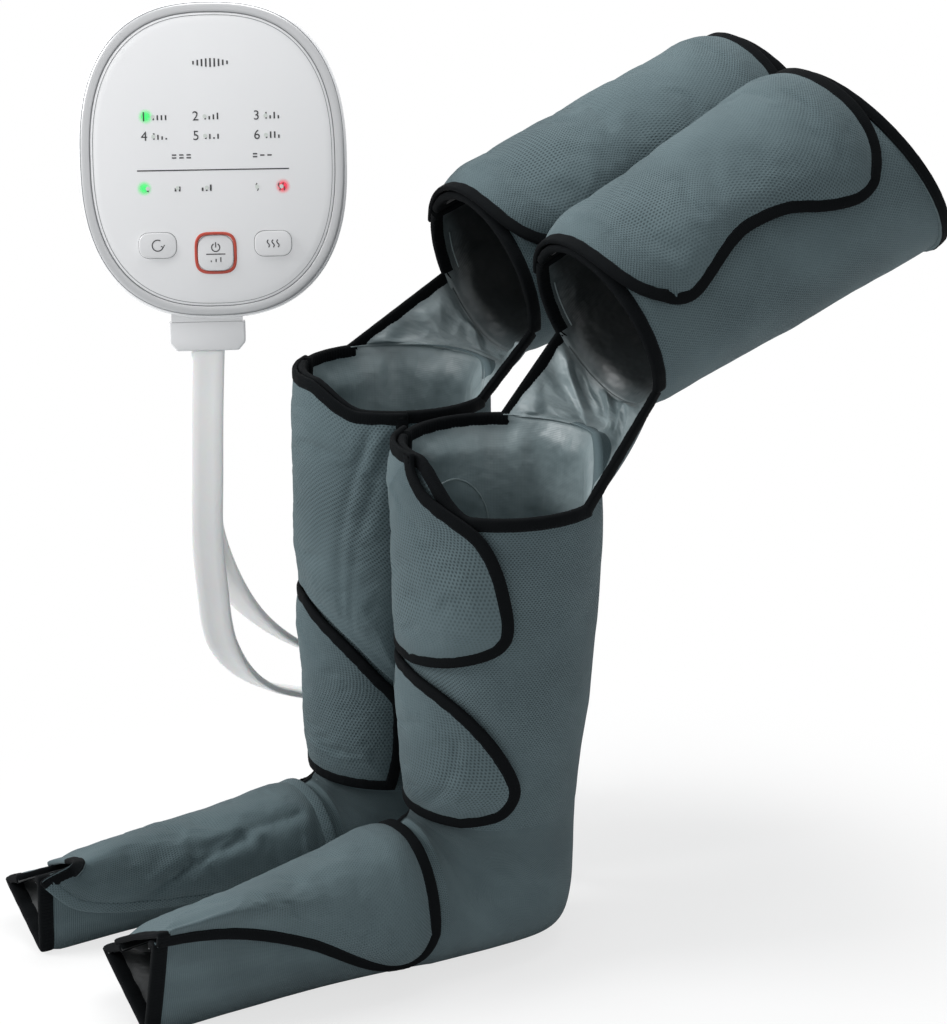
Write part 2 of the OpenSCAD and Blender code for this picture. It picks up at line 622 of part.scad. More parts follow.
module rear_cover() {
    color([0.93, 0.93, 0.92]) at_control() difference() {
        union() {
            difference() {
                intersection() {
                    case_slab(0, -rear_t - 1, 0);
                    rear_ball(0);
                }
                intersection() {
                    case_slab(case_wall, -rear_t - 1, 1);
                    rear_ball(case_wall);
                }
            }
            intersection() {
                union() {
                    for (x = [-1, 1], y = [-1, 1])
                        translate([x*screw_at[0], y*screw_at[1], -rear_t])
                            cylinder(r = 5, h = rear_t);
                    for (x = [-1, 1], y = [-1, 1])
                        translate([x*(board_size[0]/2 - 6), y*(board_size[1]/2 - 7), -rear_t])
                            cylinder(r = 4, h = rear_t + board_z);
                }
                rear_ball(case_wall/2);
            }
        }
        for (x = [-1, 1], y = [-1, 1]) translate([x*screw_at[0], y*screw_at[1], -rear_t - 1]) {
            cylinder(r = screw_r + 0.2, h = rear_t + 2);
            cylinder(r = 3.4, h = rear_t - 5);
        }
        socket_cut();
        jack_cut();
    }
}
module key(i) {
    at = norm(key_at[i]);
    top = dome_z(at, 0) + (i == 1 ? 0.9 : 1.4);
    reach = i == 1 ? power_w : key_w;
    shelf = dome_z(at + reach/2 + 5, case_wall + 0.5) - key_flange - 0.3;
    at_control() {
        key_plate(i, 0, shelf, top);
        key_plate(i, 2, shelf, shelf + key_flange);
        translate([key_at[i][0], key_at[i][1], stem_z]) cylinder(r = 2, h = shelf + 1 - stem_z);
    }
}
module program_button() { color([0.88, 0.88, 0.87]) key(0); }
module power_button() { color([0.9, 0.9, 0.89]) key(1); }
module heat_button() { color([0.88, 0.88, 0.87]) key(2); }
module power_button_ring() {
    base = dome_z(norm(key_at[1]), 0) - 1.5;
    color([0.85, 0.25, 0.12]) at_control() difference() {
        key_plate(1, power_ring_w, base, base + 2.1);
        key_plate(1, key_gap, base - 1, base + 3);
    }
}
module circuit_board() {
    color([0.1, 0.35, 0.2]) at_control() translate([0, 0, board_z + board_t/2])
        cube([board_size[0], board_size[1], board_t], center = true);
}
module tact_switches() {
    top = board_z + board_t;
    color([0.15, 0.15, 0.16]) at_control() for (p = key_at) {
        translate([p[0] - 3, p[1] - 3, top]) cube([6, 6, switch_h]);
        translate([p[0], p[1], top]) cylinder(r = 1.75, h = switch_h + plunger_h);
    }
}
led_h = 1.2;
module indicator_leds() {
    color([0.9, 0.9, 0.7]) at_control() for (p = light_at)
        translate([p[0] - 1.5, p[1] - 0.8, board_z + board_t]) cube([3, 1.6, led_h]);
}
module light_guide() {
    corner = [62, 42];
    plate_z = dome_z(norm(corner), case_wall + 0.5) - 1.7;
    color([0.85, 0.9, 0.9]) at_control() {
        translate([-corner[0], -28, plate_z]) cube([2*corner[0], corner[1] + 28, 1.4]);
        for (p = light_at) translate([p[0], p[1], board_z + board_t + led_h + 0.3])
            cylinder(r = pin_r, h = dome_z(norm(p), 0) - board_z - board_t - led_h);
    }
}
module air_pump() {
    color([0.25, 0.26, 0.28]) at_control() translate([pump_at[0], pump_at[1], pump_floor]) {
        translate([-pump_size[0]/2, -pump_size[1]/2, 0]) cube(pump_size);
        translate([pump_size[0]/2, 0, pump_size[2]/2]) rotate([0, 90, 0])
            cylinder(r = pump_size[2]/2, h = 36);
    }
}
module pump_mounts() {
    color([0.15, 0.15, 0.15]) at_control() intersection() {
        for (x = [-1, 1], y = [-1, 1])
            translate([pump_at[0] + x*(pump_size[0]/2 - 6), pump_at[1] + y*(pump_size[1]/2 - 6),
                       -rear_t]) cylinder(r = 5, h = rear_t + pump_floor);
        rear_ball(case_wall);
    }
}
module solenoid_valves() {
    color([0.75, 0.76, 0.78]) at_control() for (x = [-20, 0, 20])
        translate([x - valve_size[0]/2, valve_y - valve_size[1]/2, valve_floor])
            cube(valve_size);
}
module air_manifold() {
    color([0.3, 0.3, 0.32]) at_control()
        translate([-manifold_size[0]/2, manifold_y - manifold_size[1]/2, valve_floor])
            cube(manifold_size);
}
module tube_run(x, y0, y1) {
    translate([x, y0, tube_z]) rotate([90, 0, 0]) cylinder(r = tube_r, h = y0 - y1);
}
socket_depth = 30;
module air_tubes() {
    socket_back = -socket_face + socket_depth;
    color([0.9, 0.9, 0.85]) at_control() {
        tube_run(pump_at[0], pump_at[1] - pump_size[1]/2, manifold_y + manifold_size[1]/2);
        for (x = [-nozzle_x, nozzle_x])
            tube_run(plug_x + x, manifold_y - manifold_size[1]/2, socket_back);
    }
}
nozzle_len = 17;
module hose_socket() {
    color([0.86, 0.86, 0.85]) at_control() translate([plug_x, 0, 0]) difference() {
        translate([-socket_half[0], -socket_face, -socket_half[1]])
            cube([2*socket_half[0], socket_depth, 2*socket_half[1]]);
        for (x = [-nozzle_x, nozzle_x]) translate([x, -socket_face - 1, 0])
            rotate([-90, 0, 0]) cylinder(r = nozzle_r + nozzle_gap, h = nozzle_len + 3);
    }
}
module dc_jack() {
    color([0.12, 0.12, 0.13]) at_control() translate([ctl_w/2 + 0.3, 0, 0]) rotate([0, -90, 0]) {
        difference() {
            cylinder(r = jack_r, h = 16);
            translate([0, 0, -1]) cylinder(r = 2.75, h = 11);
        }
        translate([0, 0, 1.5]) cylinder(r = 1, h = 10);
    }
}
module case_screws() {
    color([0.7, 0.7, 0.72]) at_control() for (x = [-1, 1], y = [-1, 1])
        translate([x*screw_at[0], y*screw_at[1], 0]) {
            translate([0, 0, -6 - 2]) cylinder(r = 3.1, h = 2);
            translate([0, 0, -7]) cylinder(r = screw_r, h = 15);
        }
}

module hose_plug() {
    lip = 4;
    color([0.95, 0.95, 0.94]) at_control() translate([plug_x, -plug_top, 0]) difference() {
        translate([-plug_w/2, -plug_h, -plug_t/2]) cube([plug_w, plug_h, plug_t]);
        for (s = [-1, 1]) translate([s*plug_w/2, -plug_h, 0]) rotate([0, 0, 45])
            cube([lip, lip, plug_t + 2], center = true);
        for (x = [-nozzle_x, nozzle_x]) translate([x, 1, 0]) rotate([90, 0, 0])
            cylinder(r = nozzle_r - 0.6, h = 9);
    }
}
groove_r = 2.75;
module plug_nozzles() {
    color([0.8, 0.81, 0.82]) at_control() for (x = [-nozzle_x, nozzle_x])
        translate([plug_x + x, -plug_top, 0]) rotate([-90, 0, 0]) difference() {
            union() {
                cylinder(r = nozzle_r, h = nozzle_len);
                translate([0, 0, -8]) cylinder(r = nozzle_r - 0.6, h = 9);
            }
            translate([0, 0, -9]) cylinder(r = 1.5, h = nozzle_len + 10);
            for (z = [6, 10]) translate([0, 0, z]) difference() {
                cylinder(r = nozzle_r + 1, h = 1.4);
                translate([0, 0, -1]) cylinder(r = groove_r, h = 4);
            }
        }
}
module plug_seals() {
    thick = (nozzle_r + nozzle_gap - 0.01 - groove_r - 0.02)/2;
    color([0.1, 0.1, 0.1]) at_control() for (x = [-nozzle_x, nozzle_x], z = [6, 10])
        translate([plug_x + x, -plug_top, 0]) rotate([-90, 0, 0]) translate([0, 0, z + 0.7])
            rotate_extrude() translate([groove_r + 0.02 + thick, 0]) circle(thick, $fn = 24);
}

// Flat hoses: one ring at each point of the route and one halfway to the next
function halfway(route, i) =
    let(n = len(route) - 1)
    (9*(route[i] + route[i + 1]) - route[max(0, i - 1)] - route[min(n, i + 2)])/16;
function fine(route) =
    [for (i = [0:len(route) - 1]) each i < len(route) - 1 ? [route[i], halfway(route, i)]
        : [route[i]]];
function place(p) = [p[0], p[1], p[2]];
function along(pts, i) =
    i == 0 ? -ctl_y : i == len(pts) - 1 ? [0, 0, 1]
    : unit(place(pts[i + 1]) - place(pts[i - 1]));
hose_section = [
    for (p = [[1, 0.5], [0.82, 1], [-0.82, 1], [-1, 0.5], [-1, -0.5], [-0.82, -1], [0.82, -1],
              [1, -0.5]]) [p[0]*hose_w/2, p[1]*hose_t/2]
];
function hose_ring(pts, i) =
    let(t = along(pts, i), w0 = [cos(pts[i][3]), sin(pts[i][3]), 0],
        w = unit(w0 - (w0*t)*t), b = cross(t, w))
    [for (p = hose_section) place(pts[i]) + p[0]*w + p[1]*b];
module hose(route) {
    pts = fine(route);
    n = len(pts);
    m = len(hose_section);
    points = [for (i = [0:n - 1]) each hose_ring(pts, i)];
    walls = [for (i = [0:n - 2], j = [0:m - 1]) let(k = (j + 1) % m) each
        [[i*m + j, i*m + m + j, i*m + m + k], [i*m + j, i*m + m + k, i*m + k]]];
    caps = [for (j = [1:m - 2]) each
        [[0, j, j + 1], [(n - 1)*m, (n - 1)*m + j + 1, (n - 1)*m + j]]];
    color([0.94, 0.94, 0.93]) polyhedron(points, concat(walls, caps));
}
hose_apart = 5.5;
function plug_exit(side) =
    ctl_at + plug_x*ctl_x - (plug_top + plug_h)*ctl_y + side*hose_apart*ctl_n;
module air_hose(side, route) {
    start = plug_exit(side == 0 ? -1 : 1);
    finish = inlet_pt(side);
    hose(concat([[start[0], start[1], start[2], ctl_turn]], route,
        [[finish[0], finish[1], finish[2], 90 - inlet_at]]));
}

module wrap_piece(side, piece) {
    if (piece == "foot_shell") foot_shell(side);
    if (piece == "calf_shell") calf_shell(side);
    if (piece == "boot_lining") boot_lining(side);
    if (piece == "foot_bladder")
        boot_bladder_bag(side, [0.4, 0.6, 0.75, 0.88, 0.95], [230, 310]);
    if (piece == "calf_bladder")
        boot_bladder_bag(side, [2.2, 2.35, 2.5, 2.65, 2.8], [200, 340]);
    if (piece == "foot_heater") foot_heater(side);
    if (piece == "loop_patches") loop_patches(side);
    if (piece == "foot_flap") foot_flap(side);
    if (piece == "lower_calf_flap") lower_calf_flap(side);
    if (piece == "upper_calf_flap") upper_calf_flap(side);
    if (piece == "knee_band") knee_band(side);
    if (piece == "thigh_shell") thigh_shell(side);
    if (piece == "thigh_lining") thigh_lining(side);
    if (piece == "thigh_bladder") thigh_bladder_bag(side);
    if (piece == "thigh_loop_patch") thigh_loop_patch(side);
    if (piece == "thigh_flap") thigh_flap(side);
    if (piece == "hose_inlet") hose_inlet(side);
    if (piece == "air_hose") air_hose(side, side == 0 ? left_route : right_route);
}
wrap_pieces = [
    "foot_shell", "calf_shell", "boot_lining", "foot_bladder", "calf_bladder", "foot_heater",
    "loop_patches", "foot_flap", "lower_calf_flap", "upper_calf_flap", "knee_band",
    "thigh_shell", "thigh_lining", "thigh_bladder", "thigh_loop_patch", "thigh_flap",
    "hose_inlet", "air_hose"
];
for (piece = wrap_pieces) {
    wrap_piece(0, piece);
    wrap_piece(1, piece);
}

front_cover();
bezel_ring();
rear_cover();
program_button();
power_button();
heat_button();
power_button_ring();
circuit_board();
tact_switches();
indicator_leds();
light_guide();
air_pump();
pump_mounts();
solenoid_valves();
air_manifold();
air_tubes();
hose_socket();
dc_jack();
case_screws();
hose_plug();
plug_nozzles();
plug_seals();
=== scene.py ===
import json
import math
import bmesh
import bpy
from mathutils import Matrix, Vector, kdtree, noise
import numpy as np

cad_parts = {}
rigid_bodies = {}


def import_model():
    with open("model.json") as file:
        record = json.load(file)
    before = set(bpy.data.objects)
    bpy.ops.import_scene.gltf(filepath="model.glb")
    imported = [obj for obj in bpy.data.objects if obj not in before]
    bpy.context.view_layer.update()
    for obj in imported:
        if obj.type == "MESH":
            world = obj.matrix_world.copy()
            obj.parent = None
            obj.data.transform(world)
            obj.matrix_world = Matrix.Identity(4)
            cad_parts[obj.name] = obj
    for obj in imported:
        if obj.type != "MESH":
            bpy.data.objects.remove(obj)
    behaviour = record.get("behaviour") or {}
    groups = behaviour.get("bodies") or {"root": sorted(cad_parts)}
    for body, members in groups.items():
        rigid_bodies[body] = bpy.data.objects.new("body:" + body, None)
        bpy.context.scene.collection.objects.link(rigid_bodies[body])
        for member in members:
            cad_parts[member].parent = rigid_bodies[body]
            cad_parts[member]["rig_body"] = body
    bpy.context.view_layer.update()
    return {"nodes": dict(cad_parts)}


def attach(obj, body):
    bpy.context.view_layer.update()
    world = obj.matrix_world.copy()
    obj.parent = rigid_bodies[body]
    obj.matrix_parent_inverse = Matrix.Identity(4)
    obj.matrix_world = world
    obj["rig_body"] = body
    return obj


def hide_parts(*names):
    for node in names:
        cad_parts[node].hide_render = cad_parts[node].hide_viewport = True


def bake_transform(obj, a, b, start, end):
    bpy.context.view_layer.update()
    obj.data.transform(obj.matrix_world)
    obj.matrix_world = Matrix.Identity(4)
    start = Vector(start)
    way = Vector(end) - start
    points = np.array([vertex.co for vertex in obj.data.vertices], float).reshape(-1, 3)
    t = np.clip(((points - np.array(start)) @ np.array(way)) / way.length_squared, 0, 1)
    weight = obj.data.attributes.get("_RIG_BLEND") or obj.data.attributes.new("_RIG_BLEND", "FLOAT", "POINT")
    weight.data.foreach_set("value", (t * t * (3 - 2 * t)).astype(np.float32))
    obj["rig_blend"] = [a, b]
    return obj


# Air compression leg massager: two padded leg wraps, a hand control and two flat air hoses.
# Leg surfaces repeat the CAD part's own formulas, in millimetres, and turn to metres when a mesh is made.
# On a section of a leg, angle 0 is its +X side, 90 its front or top and 270 its back or sole.

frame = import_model()
print("frame loaded:", len(frame["nodes"]), "nodes")

sides = ["left", "right"]


def sceneObject(name, data):
    made = bpy.data.objects.new(name, data)
    bpy.context.scene.collection.objects.link(made)
    return made


# Camera: the photograph's viewing angle
view = {"target": Vector((-0.102, 0.034, 0.337)), "back": Vector((0.8259, -0.4769, 0.3007)),
        "distance": 2.150, "lens": 89.95}
eye = bpy.data.cameras.new("studioCamera")
eye.lens = view["lens"]
eyeObject = sceneObject("studioCamera", eye)
eyeObject.location = view["target"] + view["back"].normalized()*view["distance"]
eyeObject.rotation_euler = (-view["back"]).to_track_quat("-Z", "Y").to_euler()
bpy.context.scene.camera = eyeObject


# Shapes of a leg wrap
leg = {
    "axis": [0, -176], "outward": [1, -1], "creaseHeight": [125, 92], "creaseRadius": 6, "ankleHalfWidth": 66,
    "ankleHalfDepth": 68, "calfGrowWidth": 15, "calfGrowDepth": 13, "calfFullHeight": 240, "ankleLean": 7,
    "heelPower": 7, "soleFlat": 3, "footHalfWidth": 60, "footReach": [246, 266],
    "rimLow": [388, 432], "rimRise": [42, 20], "rimPeakAt": 185, "rimEnd": 138, "rimFall": 38,
    "toeCorners": [[(18, 0), (44, 94), (-70, 40)], [(22, 0), (26, 72), (-62, 36)]],
}
thigh = {
    "kneeY": [88, 84], "kneeZ": [509, 520], "slope": [24.2, 18.0], "halfWidth": 76, "growWidth": 8,
    "halfHeight": 76, "growHeight": 19, "length": [282, 332], "skew": 0.26, "spread": 8, "slit": [140, 495],
}
cloth = {
    "wall": 3, "pocket": 4.8, "lining": 2, "layerGap": 0.3, "slitInner": [138, 138, 136],
    "slitOuter": [430, 470, 490], "columns": 22, "kneeColumn": 8, "girth": 440, "tuckFrom": 18, "tuckOver": 9,
}
creaseY = -leg["ankleLean"] - leg["ankleHalfDepth"] - leg["creaseRadius"]
toes = []
for corners in leg["toeCorners"]:
    c = [Vector(corner) for corner in corners]
    lengths = [(c[(i + 1) % 3] - c[(i + 2) % 3]).length for i in range(3)]
    middle = sum((c[i]*lengths[i] for i in range(3)), Vector((0, 0)))/sum(lengths)
    toes.append({"corners": c, "middle": middle, "inner": abs((c[1] - c[0]).cross(c[2] - c[0]))/sum(lengths)})
sewnEdge = cloth["wall"] + cloth["layerGap"] + cloth["lining"]


def mix(a, b, share):
    return a + (b - a)*share


def clamp(x):
    return min(1.0, max(0.0, x))


def ease(x):
    c = clamp(x)
    return c*c*(3 - 2*c)


def cosd(a):
    return math.cos(math.radians(a))


def sind(a):
    return math.sin(math.radians(a))


def calfGrowth(side, z):
    return sind(90*clamp((z - leg["creaseHeight"][side])/leg["calfFullHeight"]))


def calfPoint(side, z, t, depth):
    f = calfGrowth(side, z)
    halfWidth = leg["ankleHalfWidth"] + leg["calfGrowWidth"]*f - depth
    halfDepth = leg["ankleHalfDepth"] + leg["calfGrowDepth"]*f - depth
    return Vector((leg["axis"][side] + halfWidth*cosd(t), leg["ankleLean"]*(f - 1) - halfDepth*sind(t), z))


def heelPoint(side, turn, t, depth):
    power = leg["heelPower"]
    across = (max(cosd(turn), 0)/(leg["creaseRadius"] + 2*leg["ankleHalfDepth"]))**power
    down = (sind(turn)/(leg["creaseHeight"][side] + leg["soleFlat"]))**power
    r = (across + down)**(-1/power)
    s = (r + leg["creaseRadius"])/2 - ((r - leg["creaseRadius"])/2 - depth)*sind(t)
    halfWidth = mix(leg["ankleHalfWidth"], leg["footHalfWidth"], turn/90) - depth
    return Vector((leg["axis"][side] + halfWidth*cosd(t), creaseY + s*cosd(turn),
                   max(leg["creaseHeight"][side] - s*sind(turn), depth, 0)))


def toePoint(side, t, depth):
    a = (t + 450) % 360 - 90
    toe = toes[side]
    c = toe["corners"]
    if a < 60:
        p = c[0].lerp(c[1], (a + 90)/150)
    elif a < 180:
        p = c[1].lerp(c[2], (a - 60)/120)
    else:
        p = c[2].lerp(c[0], (a - 180)/90)
    return toe["middle"] + (p - toe["middle"])*(1 - depth/toe["inner"])


def footPoint(side, reach, t, depth):
    w = reach/leg["footReach"][side]
    top = mix(leg["creaseHeight"][side] - leg["creaseRadius"], toes[side]["corners"][1].y, w)
    sole = leg["soleFlat"]
    height = (top - sole)/2 + ((top + sole)/2 - depth)*sind(t)
    oval = Vector(((leg["footHalfWidth"] - depth)*cosd(t), height))
    p = oval.lerp(toePoint(side, t, depth), max(w, 0)**0.8)
    return Vector((leg["axis"][side] + p.x, creaseY - reach, max(p.y, depth, 0)))


def rimHeight(side, t):
    off = abs((t - leg["rimPeakAt"] + 540) % 360 - 180)
    return leg["rimLow"][side] + leg["rimRise"][side]*ease((leg["rimEnd"] - off)/leg["rimFall"])


def bootPoint(side, w, t, depth):
    # w runs from the toe at 0 over the instep at 1 and the ankle at 2 to the rim at 3
    if w < 1:
        return footPoint(side, leg["footReach"][side]*(1 - w), t, depth)
    if w < 2:
        return heelPoint(side, 90*(2 - w), t, depth)
    return calfPoint(side, mix(leg["creaseHeight"][side], rimHeight(side, t), w - 2), t, depth)


def bootAngle(w, u):
    def edge(values):
        return mix(values[0], values[1], w) if w < 1 else mix(values[1], values[2], min(1, w - 1))

    knee = cloth["kneeColumn"]/cloth["columns"]
    if u < knee:
        return mix(edge(cloth["slitInner"]), 270, u/knee)
    return mix(270, edge(cloth["slitOuter"]), (u - knee)/(1 - knee))


def thighPoint(side, s, t, depth):
    v = (thigh["halfHeight"] + thigh["growHeight"]*s - depth)*sind(t)
    a = s*(thigh["length"][side] - thigh["skew"]*v)
    slope = thigh["slope"][side]
    return Vector((leg["axis"][side] + leg["outward"][side]*thigh["spread"]*s
                   + (thigh["halfWidth"] + thigh["growWidth"]*s - depth)*cosd(t),
                   thigh["kneeY"][side] + a*cosd(slope) - v*sind(slope),
                   thigh["kneeZ"][side] + a*sind(slope) + v*cosd(slope)))


def thighAngle(u):
    return mix(thigh["slit"][0], thigh["slit"][1], u)


# Shader sums: a wrapped socket adds the Math nodes of the expression that it is used in
class Wire:
    def __init__(self, graph, socket):
        self.graph = graph
        self.socket = socket

    def maths(self, operation, first, second):
        return self.graph.add("ShaderNodeMath", {"operation": operation}, {0: first, 1: second})


operators = {"add": "ADD", "sub": "SUBTRACT", "mul": "MULTIPLY", "truediv": "DIVIDE", "mod": "FLOORED_MODULO"}
for method, operation in operators.items():
    setattr(Wire, "__" + method + "__", lambda self, other, kind=operation: self.maths(kind, self, other))
    setattr(Wire, "__r" + method + "__", lambda self, other, kind=operation: self.maths(kind, other, self))


class Graph:
    def __init__(self, owner):
        self.owner = owner
        owner.use_nodes = True
        self.tree = owner.node_tree
        self.tree.nodes.clear()

    def add(self, kind, settings, sockets, output=0):
        node = self.tree.nodes.new(kind)
        for key, value in settings.items():
            setattr(node, key, value)
        for key, value in sockets.items():
            if isinstance(value, Wire):
                self.tree.links.new(value.socket, node.inputs[key])
            else:
                node.inputs[key].default_value = value
        return Wire(self, node.outputs[output]) if node.outputs else None

    def function(self, operation, value):
        return self.add("ShaderNodeMath", {"operation": operation}, {0: value})

    def split(self, where):
        return [self.add("ShaderNodeSeparateXYZ", {}, {0: where}, i) for i in range(2)]

    def clothMap(self):
        return self.add("ShaderNodeUVMap", {"uv_map": "cloth"}, {})

    def smooth(self, value, low, high):
        sockets = {"Value": value, "From Min": low, "From Max": high}
        return self.add("ShaderNodeMapRange", {"interpolation_type": "SMOOTHSTEP"}, sockets)

    def blend(self, share, first, second, mode="MIX"):
        sockets = {0: share, 6: first, 7: second}
        return self.add("ShaderNodeMix", {"data_type": "RGBA", "blend_type": mode}, sockets, 2)

    def grain(self, where, scale, detail=2.0, output=0):
        sockets = {"Vector": where, "Scale": scale, "Detail": detail}
        return self.add("ShaderNodeTexNoise", {}, sockets, output)

    def bump(self, height, distance, strength=1.0):
        sockets = {"Height": height, "Distance": distance, "Strength": strength}
        return self.add("ShaderNodeBump", {}, sockets)

    def finish(self, sockets):
        surface = self.add("ShaderNodeBsdfPrincipled", {}, sockets)
        self.add("ShaderNodeOutputMaterial", {}, {"Surface": surface})
        return self.owner


def newGraph(name):
    return Graph(bpy.data.materials.new(name))


def brighter(colour, times):
    return tuple(c*times for c in colour) + (1,)


def meshCloth(name, light, dark, hole):
    # Spacer mesh: staggered round holes in a knit, on the piece's own cloth map in metres
    weave = {"pitchX": 0.0027, "pitchY": 0.0019, "holeIn": 0.08, "holeOut": 0.42}
    g = newGraph(name)
    where = g.clothMap()
    x, y = g.split(where)
    x = x + (g.grain(where, 55.0, 1.0) - 0.5)*0.0011
    rows = y/weave["pitchY"]
    fx = (x/weave["pitchX"] + g.function("FLOOR", rows) % 2*0.5) % 1 - 0.5
    fy = rows % 1 - 0.5
    far = g.function("SQRT", fx*fx + fy*fy*0.7)
    opening = 1 - g.smooth(far, weave["holeIn"], weave["holeOut"])
    fade = g.smooth(g.grain(where, 9.0, 1.0), 0.30, 0.62)
    base = g.blend(g.smooth(g.grain(where, 16.0, 4.0), 0.3, 0.7), (*dark, 1), (*light, 1))
    fibres = g.grain(where, 900.0, 2.0)
    base = g.blend(fibres*0.35, base, brighter(light, 1.5))
    colour = g.blend(opening*(0.22 + 0.48*fade), base, (*hole, 1))
    height = (1 - opening)*(0.45 + 0.55*fade) + fibres*0.35
    return g.finish({"Base Color": colour, "Roughness": 0.80 + 0.14*fibres,
                     "Normal": g.bump(height, 0.0006, 0.8), "Specular IOR Level": 0.15,
                     "Sheen Weight": 0.05, "Sheen Roughness": 0.5})


def satinPaintedSheen(name, light, dark, rough, paintedShadeFrom=None):
    # Satin lining: fine cross threads, soft broad folds, a low sheen and broad light and dark streaks in its
    # colour, which are painted highlights and painted shade of the satin's shine; it may also take painted
    # shade that darkens it along its length
    g = newGraph(name)
    where = g.clothMap()
    x, y = g.split(where)
    broad = g.grain(where, 14.0, 3.0)
    # Painted highlight and painted shade: broad streaks between the dark and light colours stand in for the
    # satin's shine
    colour = g.blend(g.smooth(broad, 0.3, 0.7), (*dark, 1), (*light, 1))
    wrinkle = g.grain(where, 24.0, 3.0)
    if paintedShadeFrom:
        low, high, deep = paintedShadeFrom
        # Painted shade: the colour turns to the near-black deep colour along the cloth map's length
        colour = g.blend(g.smooth(y + (broad - 0.5)*0.03, low, high), colour, (*deep, 1))
    height = wrinkle*9.0 + g.function("SINE", y*5200.0)*0.04 + g.function("SINE", x*2600.0)*0.02
    return g.finish({"Base Color": colour, "Roughness": rough + 0.12*wrinkle,
                     "Normal": g.bump(height, 0.0009, 0.7), "Specular IOR Level": 0.6,
                     "Sheen Weight": 0.15, "Sheen Roughness": 0.35})


def wovenTape(name, colour, pale):
    # Grosgrain binding: cross ribs, a row of stitches and a thin pale line along the inner margin, which is a
    # painted highlight on the folded edge of the cloth it binds
    g = newGraph(name)
    where = g.clothMap()
    across, onward = g.split(where)
    rib = g.function("SINE", onward*4200.0)
    dash = g.smooth((onward/0.0032) % 1, 0.30, 0.38)
    stitch = dash*(1 - g.smooth(g.function("ABSOLUTE", across), 0.0003, 0.0006))
    dust = g.grain(where, 60.0, 4.0)
    base = g.blend(dust*0.5, (*colour, 1), (*pale, 1))
    shown = g.blend(stitch*0.5, base, brighter(pale, 1.6))
    # Painted highlight: a thin pale line along the inner margin, where the bound cloth's folded edge catches
    # the light
    shown = g.blend(1 - g.smooth(across, -0.0019, -0.0013), shown, (0.13, 0.17, 0.18, 1))
    return g.finish({"Base Color": shown, "Roughness": 0.78 + 0.15*dust,
                     "Normal": g.bump(rib*0.25 + stitch*0.8 + dust*0.4, 0.0003, 0.7),
                     "Specular IOR Level": 0.05, "Sheen Weight": 0.0})


def moulded(name, colour, rough, coat=0.0, metallic=0.0, speck=0.02, subsurface=0.0):
    # Moulded or plated part: faint colour drift, fine texture and slightly worn gloss
    g = newGraph(name)
    where = g.add("ShaderNodeTexCoord", {}, {}, 3)
    drift = g.grain(where, 12.0, 3.0)
    fine = g.grain(where, 1400.0, 2.0)
    base = g.blend(drift*speck*6, (*colour, 1), brighter(colour, 0.88))
    return g.finish({"Base Color": base, "Roughness": rough + 0.10*(drift - 0.5), "Metallic": metallic,
                     "Normal": g.bump(fine, 0.00004, 0.5), "Coat Weight": coat, "Coat Roughness": 0.12,
                     "Subsurface Weight": subsurface, "Subsurface Scale": 0.004})


def loopPile(name, light, dark):
    # Brushed loop tape: a nap of short curls
    g = newGraph(name)
    where = g.clothMap()
    curls = g.add("ShaderNodeTexVoronoi", {}, {"Vector": where, "Scale": 900.0})
    drift = g.grain(where, 70.0, 4.0)
    colour = g.blend(curls*0.8, (*light, 1), (*dark, 1))
    return g.finish({"Base Color": colour, "Roughness": 0.9 + 0.05*drift,
                     "Normal": g.bump(curls + drift*0.5, 0.0008, 0.8), "Sheen Weight": 0.3})


greyTeal = {"light": (0.094, 0.131, 0.142), "dark": (0.075, 0.106, 0.116), "hole": (0.020, 0.030, 0.034)}
meshMaterial = meshCloth("spacerMesh", greyTeal["light"], greyTeal["dark"], greyTeal["hole"])
satinMaterial = satinPaintedSheen("satinLining", (0.25, 0.315, 0.33), (0.10, 0.138, 0.148), 0.34)
# Thigh lining: painted shade turns it near black away from the knee end, where the inside of the wrap is in
# shade
thighSatinPaintedShade = satinPaintedSheen("thighLiningPaintedShade", (0.31, 0.375, 0.39), (0.11, 0.15, 0.16), 0.40,
                                (-0.020, 0.022, (0.007, 0.010, 0.011)))
# Knee band satin: painted shade darkens it towards the thigh wrap, to meet the thigh lining's painted shade
bandSatinPaintedShade = satinPaintedSheen("kneeSatinPaintedShade", (0.31, 0.375, 0.39), (0.11, 0.15, 0.16), 0.34,
                               (0.100, 0.150, (0.007, 0.010, 0.011)))
facingMaterial = satinPaintedSheen("kneeFacing", (0.0045, 0.006, 0.007), (0.003, 0.004, 0.005), 0.85)
# Near-black satin for the inside of the toe: painted shade
toeSatinPaintedShade = satinPaintedSheen("toeLiningPaintedShade", (0.014, 0.017, 0.018), (0.009, 0.011, 0.012), 0.6)
tapeMaterial = wovenTape("bindingTape", (0.0028, 0.0034, 0.0040), (0.0065, 0.0078, 0.0088))
pipingMaterial = satinPaintedSheen("palePiping", (0.26, 0.32, 0.33), (0.18, 0.23, 0.24), 0.4)
loopMaterial = loopPile("loopTape", (0.26, 0.32, 0.34), (0.15, 0.19, 0.20))
print("cloth materials made")


# Mesh makers
def meshObject(name, bm, materials, smooth=True):
    mesh = bpy.data.meshes.new(name)
    for face in bm.faces:
        face.smooth = smooth
    bm.to_mesh(mesh)
    bm.free()
    for material in materials:
        mesh.materials.append(material)
    return sceneObject(name, mesh)


def dress(piece, body, slot=None, *nodes):
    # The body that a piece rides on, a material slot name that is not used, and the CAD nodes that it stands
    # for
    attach(piece, body)
    if nodes:
        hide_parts(*nodes)
    return piece


def mapCloth(bm, spotOf):
    # The piece's own cloth map: spotOf gives a vertex's place on it in metres
    layer = bm.loops.layers.uv.new("cloth")
    for face in bm.faces:
        for loop in face.loops:
            loop[layer].uv = spotOf(loop.vert)


